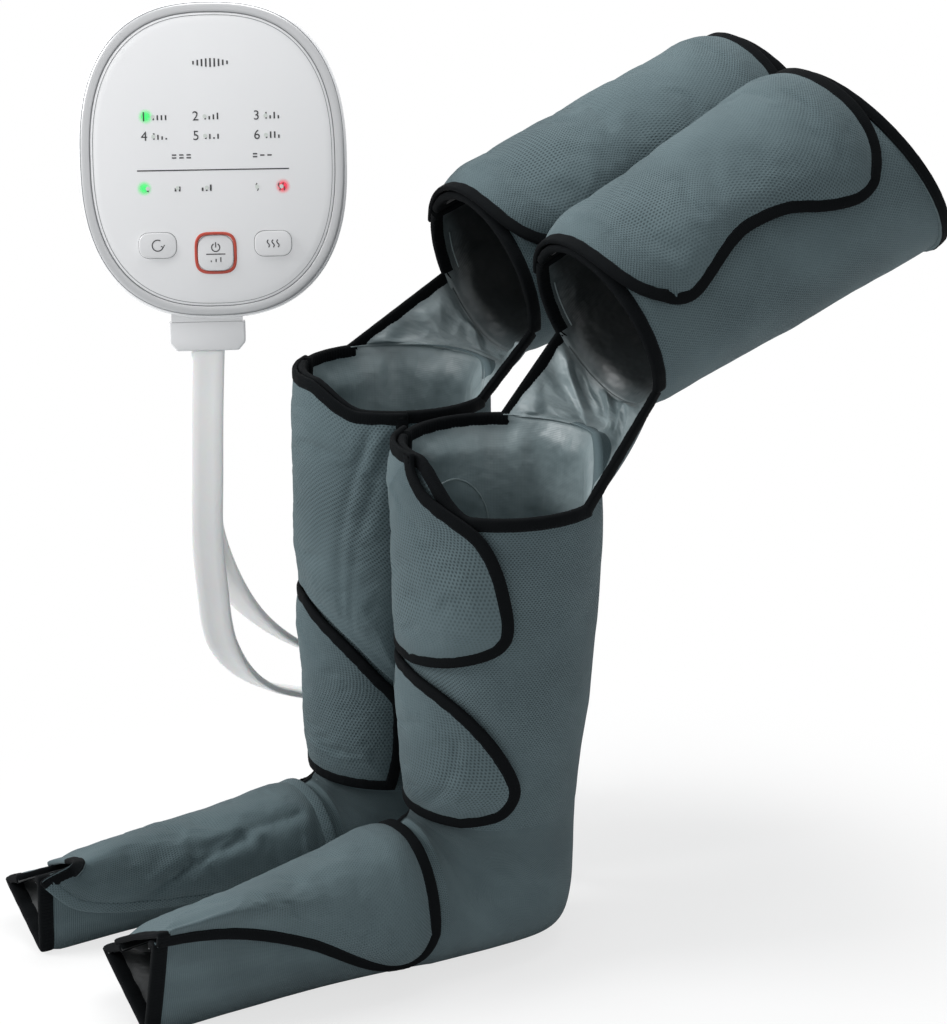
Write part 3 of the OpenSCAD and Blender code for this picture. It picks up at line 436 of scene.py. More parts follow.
def extruded(bm):
    # The faces in bm become a closed solid; gives its new elements, still at the same place
    made = bmesh.ops.extrude_face_region(bm, geom=bm.faces[:], use_keep_orig=True)["geom"]
    return [[g for g in made if isinstance(g, kind)] for kind in (bmesh.types.BMVert, bmesh.types.BMFace)]


def cornerOrder(element):
    places = [vert.index for vert in element.verts]
    return min(places)*1000000 + max(places)


def inOrder(bm):
    # Normals outwards, and a fixed order of edges and faces, so that each run gives the same mesh
    bm.verts.index_update()
    bm.edges.sort(key=cornerOrder)
    bm.faces.sort(key=cornerOrder)
    bmesh.ops.recalc_face_normals(bm, faces=bm.faces[:])
    if bm.calc_volume(signed=True) < 0:
        bmesh.ops.reverse_faces(bm, faces=bm.faces[:])
    return bm


def gridSheet(name, across, along, place, size, materials):
    # A grid becomes a closed sheet: place(u, v, 0) is its outer face and place(u, v, 1) its inner face
    bm = bmesh.new()
    bmesh.ops.create_grid(bm, x_segments=across, y_segments=along, size=0.5)
    layers = [bm.verts.layers.float.new(label) for label in ("u", "v")]
    for vert in bm.verts:
        vert[layers[0]], vert[layers[1]] = vert.co.x + 0.5, vert.co.y + 0.5
    verts, faces = extruded(bm)
    for face in faces:
        face.material_index = min(1, len(materials) - 1)
    mapCloth(bm, lambda vert: (vert[layers[0]]*size[0], vert[layers[1]]*size[1]))
    inner = set(verts)
    for vert in bm.verts:
        vert.co = place(vert[layers[0]], vert[layers[1]], 1 if vert in inner else 0)*0.001
    for label in ("u", "v"):
        bm.verts.layers.float.remove(bm.verts.layers.float[label])
    made = meshObject(name, inOrder(bm), materials)
    # The cloth simulation follows the order of an edge's two ends too
    for edge in made.data.edges:
        edge.vertices = sorted(edge.vertices)
    return made


def gridTube(name, around, steps, place, materials, onCloth=lambda u, v: (u, v), caps=True, weld=1e-6):
    # A grid whose u runs round: its seam and poles are merged, and open ends are filled when asked
    bm = bmesh.new()
    bmesh.ops.create_grid(bm, x_segments=around, y_segments=steps, size=0.5)
    params = {vert: (vert.co.x + 0.5, vert.co.y + 0.5) for vert in bm.verts}
    mapCloth(bm, lambda vert: onCloth(*params[vert]))
    for vert, (u, v) in params.items():
        vert.co = place(u, v, round(v*steps))
    bmesh.ops.remove_doubles(bm, verts=bm.verts[:], dist=weld)
    if caps:
        bmesh.ops.holes_fill(bm, edges=[edge for edge in bm.edges if edge.is_boundary], sides=0)
    bmesh.ops.recalc_face_normals(bm, faces=bm.faces[:])
    return meshObject(name, bm, materials)


def pathFrames(points, normals, away):
    # Tangent, surface normal and outward direction at each point of an edge
    frames = []
    last = len(points) - 1
    turn = 0
    for i, point in enumerate(points):
        tangent = (points[min(last, i + 1)] - points[max(0, i - 1)]).normalized()
        normal = sum(normals[max(0, i - 3):i + 4], Vector((0, 0, 0))).normalized()
        outward = tangent.cross(normal).normalized()
        turn += outward.dot(away[i].normalized())
        frames.append((point, tangent, normal, outward))
    if turn < 0:
        frames = [(point, tangent, normal, -outward) for point, tangent, normal, outward in frames]
    return frames


def roundedSection(angle, halfWidth, halfThick, power=3.4):
    c, s = math.cos(angle), math.sin(angle)
    return (halfWidth*math.copysign(abs(c)**(2/power), c), halfThick*math.copysign(abs(s)**(2/power), s))


tape = {"halfWidth": 5.4, "lip": 1.3, "cover": 0.9, "around": 16, "margin": 2.0}


def bindTape(name, frames, edgeThick, body, halfWidth=None, material=None):
    # Folded tape sewn round an edge: a rounded flat section swept along it
    half = halfWidth or tape["halfWidth"]
    thick = edgeThick/2 + tape["cover"]
    count = len(frames) - 1
    lengths = [0.0]
    for before, after in zip(frames, frames[1:]):
        lengths.append(lengths[-1] + (after[0] - before[0]).length)

    def onCloth(u, v):
        x = roundedSection(2*math.pi*u, half, thick)[0]
        return ((x + half - tape["margin"])*0.001, lengths[round(v*count)]*0.001)

    def place(u, v, i):
        point, tangent, normal, outward = frames[i]
        pucker = 1 + 0.05*math.sin(lengths[i]*1.9) + 0.05*math.sin(lengths[i]*0.37 + 1)
        x, y = roundedSection(2*math.pi*u, half, thick*pucker)
        centre = point - outward*(half - tape["lip"])
        return (centre + outward*x + normal*y)*0.001

    return dress(gridTube(name, tape["around"], count, place, [material or tapeMaterial], onCloth), body)


def piping(name, points, radius, body):
    # Thin round cord along a line
    count = len(points) - 1

    def onCloth(u, v):
        return (u*0.004, round(v*count)*0.002)

    def place(u, v, i):
        tangent = (points[min(count, i + 1)] - points[max(0, i - 1)]).normalized()
        first = tangent.orthogonal().normalized()
        if abs(tangent.z) < 0.9:
            first = tangent.cross(Vector((0, 0, 1))).normalized()
        second = tangent.cross(first)
        angle = 2*math.pi*u
        return (points[i] + first*radius*math.cos(angle) + second*radius*math.sin(angle))*0.001

    return dress(gridTube(name, 8, count, place, [pipingMaterial], onCloth), body)


def curveThrough(points, rounds):
    # Four-point rule: new points halfway, as the CAD part's hoses are drawn
    for _ in range(rounds):
        last = len(points) - 1
        finer = []
        for i, point in enumerate(points[:-1]):
            before, after = points[max(0, i - 1)], points[min(last, i + 2)]
            halfway = [(9*(a + b) - c - d)/16 for a, b, c, d in zip(point, points[i + 1], before, after)]
            finer += [point, halfway]
        points = finer + [points[-1]]
    return points


def along(table, share):
    # Value of a smooth table of rows at a share of its length
    x = clamp(share)*(len(table) - 1)
    i = min(int(x), len(table) - 2)
    return [mix(a, b, x - i) for a, b in zip(table[i], table[i + 1])]


def nearby(points):
    # Search tree that finds the nearest of the points
    tree = kdtree.KDTree(len(points))
    for i, point in enumerate(points):
        tree.insert(point, i)
    tree.balance()
    return tree


def soften(point, seed, scale, amount):
    spot = Vector((point.x*scale, point.y*scale, point.z*scale)) + Vector((seed, seed, seed))
    return amount*noise.noise(spot)


# Outer cloth and lining of the boots
boot = {
    "across": 110, "along": 150, "liningAcross": 90, "liningAlong": 150, "calfRun": 300, "footRun": 263,
    "padHeight": 2.70, "padAngle": 172, "padTall": 0.14, "padWide": 30, "padRise": 3.5, "toeShadeFrom": 120,
    "rimSteps": 120, "slitSteps": 150, "toeTape": 6.3, "slitTape": 3.6, "seamDepth": 2.7,
}
# Knee bands: first and last of the rim's columns, and the angles where they meet the thigh wraps
band = {"first": [4.5, 2.5], "last": [12, 11.5], "thighFrom": [196, 190], "thighTo": [324, 328], "sag": 7}


def outerNormal(pointAt):
    return (pointAt(0) - pointAt(1)).normalized()


def edgeFrames(pointAt, spots, depth, inward):
    # Frames at the spots (u, v) of an edge; inward gives the spot a little further in
    points, normals, outs = [], [], []
    for spot in spots:
        points.append(pointAt(*spot, depth))
        normals.append(outerNormal(lambda d: pointAt(*spot, d)))
        outs.append(pointAt(*spot, 0) - pointAt(*inward(*spot), 0))
    return pathFrames(points, normals, outs)


def tuckedDepth(bare, seed, off, ground=1):
    # The outer cloth is drawn in under its binding and lumpy away from it
    bound = ease((cloth["tuckFrom"] - off)/cloth["tuckOver"])
    lump = (soften(bare, seed, 0.018, 1.3) + soften(bare, seed + 6, 0.05, 0.5))*(1 - bound)
    return bound - lump*ground


def fromSlits(u):
    return min(u, 1 - u)*cloth["girth"]


def surfaceNormal(pointAt, u, v):
    # From the surface's own two directions, turned to the outer side
    across = pointAt(min(1, u + 0.012), v, 0) - pointAt(max(0, u - 0.012), v, 0)
    onward = pointAt(u, min(1, v + 0.01), 0) - pointAt(u, max(0, v - 0.01), 0)
    normal = across.cross(onward).normalized()
    return normal if normal.dot(outerNormal(lambda d: pointAt(u, v, d))) > 0 else -normal


def bootFrames(place, spots, away):
    # Frames along an edge of the boot; away gives the outward direction at a share of its height
    points, normals, outs = [], [], []
    for u, v in spots:
        points.append(place(u, v, sewnEdge/2))
        normals.append(surfaceNormal(place, clamp(u), v))
        outs.append(away(v))
    return pathFrames(points, normals, outs)


def makeBoot(side):
    name = sides[side]

    def place(u, v, depth):
        return bootPoint(side, 3*v, bootAngle(3*v, u), depth)

    def outer(u, v, face):
        if face:
            return place(u, v, cloth["wall"])
        bare = place(u, v, 0)
        off = min((3 - 3*v)*boot["calfRun"], 3*v*leg["footReach"][side], fromSlits(u) + 3)
        return place(u, v, tuckedDepth(bare, 3 + side, off, clamp((bare.z - 2)/14)))

    shell = gridSheet(name + "_boot_cloth", boot["across"], boot["along"], outer, (0.46, 0.86),
                      [meshMaterial])
    dress(shell, "leg_wraps", "shell_mesh", name + "_foot_shell", name + "_calf_shell")

    def lining(u, v, face):
        w = 3*v
        ends = min((3 - w)*boot["calfRun"], w*boot["footRun"])
        column = u*cloth["columns"]
        banded = ease(column - band["first"][side])*ease(band["last"][side] - column)*(w > 2)
        lift = ease((min(fromSlits(u), ends) - mix(9, 0, banded))/20)
        deep = mix(cloth["wall"] + cloth["layerGap"], cloth["wall"] + cloth["pocket"], lift)
        bare = place(u, v, deep)
        if not face:
            return bare
        fold = abs(noise.noise(Vector((bare.x*0.016, bare.y*0.016, bare.z*0.006 + side))))
        ridge = 1 - abs(noise.noise(Vector((bare.x*0.04, bare.y*0.04, bare.z*0.009 + 7))))*2
        # A pressure pad's rounded top shows through the left calf's lining
        upward = (w - boot["padHeight"])/boot["padTall"]
        sideways = (bootAngle(w, u) - boot["padAngle"])/boot["padWide"]
        pad = ease((1.12 - upward**2 - sideways**2)/0.25)*(side == 0)
        folds = lift*(7*fold + 3*max(0, ridge))*(1 - 0.7*pad)
        return place(u, v, deep + cloth["lining"] + folds + boot["padRise"]*pad)

    inside = gridSheet(name + "_boot_satin", boot["liningAcross"], boot["liningAlong"], lining,
                       (0.42, 0.86), [satinMaterial, satinMaterial, toeSatinPaintedShade])
    # Painted shade: lining faces towards the toe take the near-black toe satin
    for face in inside.data.polygons:
        if face.center.y < (creaseY - boot["toeShadeFrom"])*0.001:
            face.material_index = 2
    dress(inside, "leg_wraps", "lining_satin", name + "_boot_lining")

    # A pale cord round the pad's top edge: a painted highlight of the lining's sheen over the pad's edge
    if side == 0:
        knee = cloth["kneeColumn"]/cloth["columns"]
        seam = []
        for a in range(-10, 191, 5):
            w = boot["padHeight"] + boot["padTall"]*sind(a)
            t = boot["padAngle"] + boot["padWide"]*cosd(a)
            seam.append(lining(knee*(t - bootAngle(w, 0))/(270 - bootAngle(w, 0)), w/3, True))
        piping("left_pad_painted_sheen_line", seam, 0.9, "leg_wraps")

    def rimFrames(low, high, v=1, away=Vector((0, 0, 1))):
        spots = [(mix(low, high, i/boot["rimSteps"]), v) for i in range(boot["rimSteps"] + 1)]
        return bootFrames(place, spots, lambda v: away)

    start, end = band["first"][side]/cloth["columns"], band["last"][side]/cloth["columns"]
    bindTape(name + "_rim_inner_tape", rimFrames(0, start + 0.010), sewnEdge, "leg_wraps")
    bindTape(name + "_rim_outer_tape", rimFrames(end - 0.010, 1), sewnEdge, "leg_wraps")
    seam = [point - normal*boot["seamDepth"] for point, _, normal, _ in rimFrames(start, end)]
    piping(name + "_rim_seam", seam, 0.5, "leg_wraps")
    toe = rimFrames(0, 1, 0, Vector((0, -1, 0)))
    bindTape(name + "_toe_tape", toe, sewnEdge, "leg_wraps", boot["toeTape"])
    for label, edge, inward in (("inner", 0, 0.01), ("outer", 1, -0.01)):
        spots = [(edge, i/boot["slitSteps"]) for i in range(boot["slitSteps"] + 1)]
        slit = bootFrames(place, spots, lambda v: place(edge, v, 0) - place(edge + inward, v, 0))
        bindTape(name + "_slit_" + label + "_tape", slit, sewnEdge, "leg_wraps", boot["slitTape"])


for side in range(2):
    makeBoot(side)
print("boots made")


# Padded flaps. Outline: place along the leg, then the angle of the free edge there
flap = {
    "gap": 2.8, "rootGap": 0.6, "edge": 3.0, "puff": 6.8, "calfPuff": 4.2, "rightFootPuff": 3.5,
    "across": 72, "along": 96, "calfRoot": 142, "footRoot": 144, "footRidge": 60, "thighRoot": 150,
    "tapeZone": 7.0, "rise": 26.0, "steepness": 2.4, "creaseWidth": 4.0, "rollWidth": 5, "rollAt": 11,
}
upperOutline = [
    [[432, 84], [420, 83], [405, 74], [394, 60], [378, 42], [355, 32], [325, 26], [295, 24], [278, 34],
     [266, 60], [261, 86]],
    [[0, 22], [0.2, 22], [0.4, 22], [0.6, 22], [0.8, 22], [1, 22]],
]
# The right upper flap follows the rim and ends above the lower flap: angle, then height
upperEnd = [[22, 189], [36, 208], [52, 230], [70, 248.5], [96, 265.5], [180, 265.5]]
lowerOutline = [
    [[254, 96], [246, 72], [232, 52], [212, 36], [190, 24], [165, 15], [148, 17], [136, 27], [129, 50]],
    [[258, 96], [240, 70], [222, 52], [200, 36], [181, 24], [155, 22], [126, 22], [97, 26]],
]
footOutline = [
    [[1, 46], [0.9, 44], [0.79, 38], [0.69, 29], [0.58, 16], [0.47, 1], [0.36, -18], [0.26, -34],
     [0.18, -41], [0.115, -38], [0.07, -26], [0.045, -8]],
    [[1, 40], [0.94, 8], [0.88, -11], [0.79, -21], [0.69, -26], [0.58, -28], [0.47, -29], [0.36, -30],
     [0.26, -31], [0.18, -31], [0.115, -29], [0.07, -21], [0.045, -8]],
]
thighOutline = [[0, 20], [0.03, 16], [0.08, 13], [0.15, 14], [0.29, 22], [0.38, 26], [0.46, 27],
                [0.6, 24], [0.7, 17], [0.78, 12], [0.86, 9], [0.92, 9.5], [0.97, 12], [1, 15.5]]


def calfFlapPoint(side, row, u, depth):
    return calfPoint(side, row[0], mix(flap["calfRoot"], row[1], u), depth)


def tallFlapPoint(side, row, u, depth):
    t = mix(flap["calfRoot"], row[1], u)
    i = next(i for i in range(1, len(upperEnd)) if upperEnd[i][0] >= min(t, 179.9))
    (a0, z0), (a1, z1) = upperEnd[i - 1], upperEnd[i]
    end = mix(z0, z1, clamp((t - a0)/(a1 - a0)))
    return calfPoint(side, mix(rimHeight(side, t), end, row[0]), t, depth)


def footFlapPoint(side, row, u, depth):
    ridge = 6/11
    if u < ridge:
        t = mix(flap["footRoot"], flap["footRidge"], u/ridge)
    else:
        t = mix(flap["footRidge"], row[1], (u - ridge)/(1 - ridge))
    # The right flap's toe end is cut back over the ridge
    back = 0.12*side*(1 - ease((u - 0.42)/0.58))*row[0]**6
    return footPoint(side, (row[0] - back)*leg["footReach"][side], t, depth)


def thighFlapPoint(side, row, u, depth):
    s = mix(0.1*u**8, 0.98 - 0.12*u**7, row[0])
    return thighPoint(side, s, mix(flap["thighRoot"], row[1], u), depth)


# Quilting seams and creases: depth in millimetres, then places across and along the flap
creases = {
    "right_upper_calf_pad": [
        (1.8, [(0.838, 0.075), (0.775, 0.225), (0.725, 0.412), (0.69, 0.65), (0.688, 0.95)]),
        (1.8, [(0.95, 0.075), (0.863, 0.237), (0.77, 0.525), (0.745, 0.762), (0.735, 0.975)]),
    ],
    "left_lower_calf_pad": [
        (1.4, [(0.812, 0.425), (0.762, 0.5), (0.68, 0.588), (0.613, 0.688), (0.562, 0.8), (0.5, 0.86)]),
    ],
    "right_foot_pad": [
        (4.0, [(0.637, 0.6), (0.688, 0.5), (0.8, 0.4), (0.9, 0.35), (1.0, 0.3)]),
        (2.5, [(0.575, 0.8), (0.588, 0.662), (0.613, 0.55), (0.637, 0.463)]),
        (2.0, [(0.62, 0.9), (0.72, 0.86), (0.85, 0.84)]),
    ],
}


# Cloth simulation of the pads: they swell a little against their sewn edges
swell = {
    "cap": 0.003, "frames": 20, "heldWithin": 11.0, "freeBeyond": 30.0,
    "settings": {"quality": 5, "mass": 0.25, "tension_stiffness": 12, "compression_stiffness": 12,
                 "shear_stiffness": 4, "bending_stiffness": 0.4, "shrink_min": -0.012, "use_pressure": True,
                 "uniform_pressure_force": 4.0, "vertex_group_mass": "held"},
}
swellingPads = []


def holdForSwelling(piece, sewn):
    # The lining side and everything near a sewn line is held
    inner = set()
    for face in piece.data.polygons:
        if face.material_index == 1:
            inner.update(face.vertices)
    tree = nearby(sewn)
    group = piece.vertex_groups.new(name="held")
    for vert in piece.data.vertices:
        off = tree.find(vert.co*1000)[2]
        share = (off - swell["heldWithin"])/(swell["freeBeyond"] - swell["heldWithin"])
        group.add([vert.index], 1.0 if vert.index in inner else 1 - clamp(share), "REPLACE")
    swellingPads.append(piece)


def swellPads():
    scene = bpy.context.scene
    for piece in swellingPads:
        fabric = piece.modifiers.new("swelling", "CLOTH")
        for key, value in swell["settings"].items():
            setattr(fabric.settings, key, value)
        fabric.settings.effector_weights.gravity = 0
        fabric.collision_settings.use_collision = False
        fabric.collision_settings.use_self_collision = False
    for frameNumber in range(1, swell["frames"] + 1):
        scene.frame_set(frameNumber)
    settled = bpy.context.evaluated_depsgraph_get()
    for piece in swellingPads:
        points = [vert.co.copy() for vert in piece.evaluated_get(settled).data.vertices]
        most = 0
        for vert, point in zip(piece.data.vertices, points):
            move = point - vert.co
            most = max(most, move.length)
            vert.co += move*(swell["cap"]*math.tanh(move.length/swell["cap"])/max(move.length, 1e-6))
        print(piece.name, "swelled by up to", round(most*1000, 1), "mm")
    for piece in swellingPads:
        piece.modifiers.remove(piece.modifiers["swelling"])
    scene.frame_set(1)


def makeFlap(side, label, outline, pointAt, size, seed):
    name = sides[side] + "_" + label + "_pad"
    node = sides[side] + "_" + label + "_flap"
    body = node + "_body"
    table = curveThrough(outline, 3)
    onCalf = pointAt in (calfFlapPoint, tallFlapPoint)
    onFoot = pointAt == footFlapPoint
    puff = flap["rightFootPuff" if onFoot and side == 1 else "calfPuff" if onCalf else "puff"]

    def gapAt(u):
        if onCalf:
            return mix(flap["rootGap"], flap["gap"], ease(u/0.4))
        return flap["gap"] - (flap["gap"] - flap["rootGap"])*max(0.0, 1 - 4*u)

    # Edge from the root out, along the free edge and back in; the tall flap's lower end isn't taped
    edgePath = [(i/60, 0) for i in range(60)] + [(1, i/90) for i in range(91)]
    taped = len(edgePath) if pointAt == tallFlapPoint else None
    edgePath += [(1 - i/60, 1) for i in range(1, 61)]
    points, normals, outs = [], [], []

    def midway(u, v, under):
        return pointAt(side, along(table, v), u, -gapAt(under) - flap["edge"]/2)

    for u, v in edgePath:
        points.append(midway(u, v, u))
        normals.append(surfaceNormal(lambda a, b, d: pointAt(side, along(table, b), a, d), u, v))
        outs.append(points[-1] - midway(mix(u, 0.5, 0.03), mix(v, 0.5, 0.03), u))
    tree = nearby(points)
    lines = []
    for depth, places in creases.get(name, []):
        spots = []
        for a, b in zip(places, places[1:]):
            for k in range(8):
                u, v = mix(a[0], b[0], k/8), mix(a[1], b[1], k/8)
                spots.append(midway(u, v, u))
        lines.append((depth, nearby(spots)))

    def padded(u, v, face):
        row = along(table, v)
        gap = gapAt(u)
        if face:
            return pointAt(side, row, u, -gap)
        bare = midway(u, v, u)
        off = tree.find(bare)[2]
        root = ease((u - 0.1)/0.45) if onCalf else ease(u/0.10)
        rise = clamp((off - flap["tapeZone"])/flap["rise"])
        crown = 1 - (1 - rise)**flap["steepness"]
        lump = soften(bare, seed, 0.02, 1.4) + soften(bare, seed + 5, 0.055, 0.6)
        high = mix(0.8, flap["edge"], ease(u/0.05)) + root*crown*(puff + lump)
        for depth, line in lines:
            reach = line.find(bare)[2]
            roll = 0.3*math.exp(-((reach - flap["rollAt"])/flap["rollWidth"])**2)
            high -= depth*crown*(math.exp(-(reach/flap["creaseWidth"])**2) - roll)
        if not onFoot:
            return pointAt(side, row, u, -gap - high)
        # The padding rounds the ridge of the foot
        rounding = 0.035*ease((u - 0.15)/0.15)*ease((0.92 - u)/0.12)
        weights = [1, 2, 3, 3, 3, 2, 1]
        total = Vector((0, 0, 0))
        for k, weight in enumerate(weights):
            total += pointAt(side, row, u + rounding*(k - 3), -gap - high)*weight
        return total/sum(weights)

    made = gridSheet(name, flap["across"], flap["along"], padded, size, [meshMaterial, satinMaterial])
    root = [pointAt(side, along(table, k/60), 0.03, -3) for k in range(61)]
    holdForSwelling(made, points + root)
    dress(made, body, "flap_mesh", node)
    frames = pathFrames(points[:taped], normals[:taped], outs[:taped])
    if name == "right_foot_pad":
        bindTape(name + "_toe_binding", frames[:21], flap["edge"], body, material=meshMaterial)
        bindTape(name + "_toe_tape", frames[20:63], flap["edge"], body)
        bindTape(name + "_edge", frames[62:], flap["edge"], body, material=meshMaterial)
    else:
        bindTape(name + "_tape", frames, flap["edge"], body)
    return made


for side in range(2):
    upperPoint = [calfFlapPoint, tallFlapPoint][side]
    makeFlap(side, "upper_calf", upperOutline[side], upperPoint, (0.15, 0.19), 11 + side)
    makeFlap(side, "lower_calf", lowerOutline[side], calfFlapPoint, (0.15, 0.14), 21 + side)
    makeFlap(side, "foot", footOutline[side], footFlapPoint, (0.19, 0.27), 31 + side)
    makeFlap(side, "thigh", thighOutline, thighFlapPoint, (0.20, 0.29), 41 + side)
swellPads()
for pad in swellingPads:
    pad.vertex_groups.clear()
print("flaps made")


# Thigh wraps
thighDetail = {"across": 110, "along": 90, "liningAcross": 90, "liningAlong": 70}


def makeThigh(side):
    name = sides[side]
    body = name + "_thigh_wrap"
    start, end = [(band[key][side] - thigh["slit"][0])/(thigh["slit"][1] - thigh["slit"][0])
                  for key in ("thighFrom", "thighTo")]

    def place(u, v, depth):
        return thighPoint(side, v, thighAngle(u), depth)

    def outer(u, v, face):
        if face:
            return place(u, v, cloth["wall"])
        off = min(min(v, 1 - v)*thigh["length"][side], fromSlits(u) + 3)
        return place(u, v, tuckedDepth(place(u, v, 0), 51 + side, off))

    shell = gridSheet(name + "_thigh_cloth", thighDetail["across"], thighDetail["along"], outer,
                      (0.50, 0.31), [meshMaterial])
    dress(shell, body, "shell_mesh", name + "_thigh_shell")

    def liningDepth(u, v, face):
        banded = ease((u - start)/0.05)*ease((end - u)/0.05)
        margin = min(fromSlits(u), min(v, 1 - v)*thigh["length"][side])
        lift = ease((margin - mix(9, 0, banded*(v < 0.5)))/20)
        deep = mix(cloth["wall"] + cloth["layerGap"], cloth["wall"] + cloth["pocket"], lift)
        if not face:
            return deep
        bare = place(u, v, deep)
        fold = abs(noise.noise(Vector((bare.x*0.02, bare.y*0.008, bare.z*0.02 + side + 4))))
        return deep + cloth["lining"] + lift*6*fold

    def lining(u, v, face):
        return place(u, v, liningDepth(u, v, face))

    inside = gridSheet(name + "_thigh_satin", thighDetail["liningAcross"], thighDetail["liningAlong"], lining,
                       (0.46, 0.31), [thighSatinPaintedShade])
    dress(inside, body, "lining_satin", name + "_thigh_lining")
    for label, v, low, high in (("knee_inner", 0, 0, start), ("knee_outer", 0, end, 1), ("hip", 1, 0, 1)):
        spots = [(mix(low, high, i/120), v) for i in range(121)]
        rim = edgeFrames(place, spots, sewnEdge/2, lambda u, v: (u, mix(v, 0.5, 0.05)))
        bindTape(name + "_" + label + "_tape", rim, sewnEdge, body)

    # Broad dark facing inside the knee end, with a pale line of piping at its margin
    def facing(u, v, face):
        at = mix(end, 0.98, u)
        s = mix(0.012, mix(0.020, 0.085, ease(u*1.4)), v)
        return place(at, s, liningDepth(at, s, True) + (1.0 if face else 0.2))

    dress(gridSheet(name + "_knee_facing", 60, 6, facing, (0.2, 0.018), [facingMaterial]), body)
    margins = (("inner", 0.06, start, 0.043, 0.043), ("outer", end, 0.98, 0.020, 0.085))
    for label, low, high, narrow, broad in margins:
        line = []
        for i in range(61):
            at, s = mix(low, high, i/60), mix(narrow, broad, ease(i/60*1.4))
            line.append(place(at, s, liningDepth(at, s, True) + 0.7))
        piping(name + "_knee_piping_" + label, line, 0.55, body)
    for label, u in (("inner", 0), ("outer", 1)):
        spots = [(u, i/80) for i in range(81)]
        slit = edgeFrames(place, spots, sewnEdge/2, lambda u, v: (mix(u, 0.5, 0.02), v))
        bindTape(name + "_thigh_slit_" + label + "_tape", slit, sewnEdge, body, boot["slitTape"])


for side in range(2):
    makeThigh(side)
print("thigh wraps made")


# Knee bands: satin towards the knee, mesh behind. Their columns and angles stand with the boots


def bandPoint(side, u, v, depth):
    # u runs round the leg, v from the calf's rim to the thigh wrap
    column = mix(band["first"][side], band["last"][side], u)
    a = bootAngle(3, column/cloth["columns"])
    low = calfPoint(side, rimHeight(side, a) + cloth["layerGap"], a, depth)
    high = thighPoint(side, -cloth["layerGap"]/thigh["length"][side],
                      mix(band["thighFrom"][side], band["thighTo"][side], u), depth)
    sag = band["sag"]*sind(180*v)*sind(180*u)
    return low.lerp(high, v) + Vector((0, sag, -sag))


def makeBand(side):
    name = sides[side]
    edgeDepth = 3.0
    flush = sewnEdge + 0.7

    def point(u, v, depth):
        return bandPoint(side, u, v, depth)

    def place(u, v, face):
        if not face:
            return point(u, v, 0)
        near = ease(min(v, 1 - v)/0.16)
        inner = ease(min(u, 1 - u)*7)
        slant = Vector((u*3.4 + v*1.3, v*1.1 - u*0.9, side*3.1 + 0.4))
        fold = 1 - abs(noise.noise(slant))*2.4
        small = 1 - abs(noise.noise(slant*1.9 + Vector((5, 2, 1))))*2
        deep = mix(mix(edgeDepth, flush, inner), edgeDepth, near) + near*inner*(1 + 8*max(0, fold) + 3*small)
        return point(u, mix(-0.03, 1.03, v), deep)

    made = gridSheet(name + "_knee_cloth", 84, 76, place, (0.15, 0.13), [meshMaterial, bandSatinPaintedShade])
    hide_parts(name + "_knee_band")
    parts = [made]
    for label, u in (("inner", 0), ("outer", 1)):
        spots = [(u, mix(-0.035, 1.03, i/60)) for i in range(61)]
        frames = edgeFrames(point, spots, 2.2, lambda u, v: (mix(u, 0.5, 0.03), v))
        parts.append(bindTape(name + "_band_" + label + "_tape", frames, 4.4, "leg_wraps"))
    for piece in parts:
        piece.parent = None
        piece.pop("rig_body", None)
        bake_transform(piece, "leg_wraps", name + "_thigh_wrap",
                 start=point(0.5, 0.02, 0)*0.001, end=point(0.5, 0.98, 0)*0.001)


for side in range(2):
    makeBand(side)
print("knee bands made")


# Loop tape patches on the shells: rows along the leg, then columns round it
patches = {"foot": (0.75, 0.95, 13, 16), "lower": (2.15, 2.31, 16.6, 18), "upper": (2.59, 2.75, 16.2, 18)}
thighPatch = {"from": 0.2, "to": 0.8, "first": 18, "last": 20, "columns": 25}


def makePatch(name, rows, pointAt, size, body, *nodes):
    def place(u, v, face):
        return pointAt(u, v, 0.2 if face else -0.8*ease(min(u, 1 - u, v, 1 - v)*25) - 0.1)

    dress(gridSheet(name, 24, rows, place, size, [loopMaterial]), body, "loop_tape", *nodes)


for side in range(2):
    name = sides[side]

    def onThigh(u, v, depth):
        t = thighAngle(mix(thighPatch["first"], thighPatch["last"], u)/thighPatch["columns"])
        return thighPoint(side, mix(thighPatch["from"], thighPatch["to"], v), t, depth)

    for label, (w0, w1, c0, c1) in patches.items():
        def onBoot(u, v, depth):
            w = mix(w0, w1, v)
            return bootPoint(side, w, bootAngle(w, mix(c0, c1, u)/cloth["columns"]), depth)

        nodes = [name + "_loop_patches"] if label == "foot" else []
        makePatch(name + "_" + label + "_loop_patch", 30, onBoot, (0.06, 0.09), "leg_wraps", *nodes)
    makePatch(name + "_thigh_loop_pile", 60, onThigh, (0.06, 0.19), name + "_thigh_wrap",
              name + "_thigh_loop_patch")
print("loop patches made")


# Hand control: drawn facing +Z in millimetres, then set in place
control = {"at": (-176 - 112.5, -111.1, 619.1), "turn": 65.8, "tilt": 9.6, "width": 224, "height": 264,
           "power": 2.5, "front": 24, "rear": 26, "frontDome": 900, "rearDome": 600, "around": 168}
controlX = Vector((cosd(control["turn"]), sind(control["turn"]), 0))
controlY = Vector((-sind(control["turn"])*sind(control["tilt"]), cosd(control["turn"])*sind(control["tilt"]),
                   cosd(control["tilt"])))
controlN = controlX.cross(controlY)
controlAt = Vector(control["at"])
controlPlace = Matrix((controlX, controlY, controlN)).transposed().to_4x4()
controlPlace = Matrix.Translation(controlAt*0.001) @ controlPlace @ Matrix.Diagonal((0.001, 0.001, 0.001, 1))


def domeHeight(x, y, dome, top):
    return top - dome + math.sqrt(dome*dome - x*x - y*y)


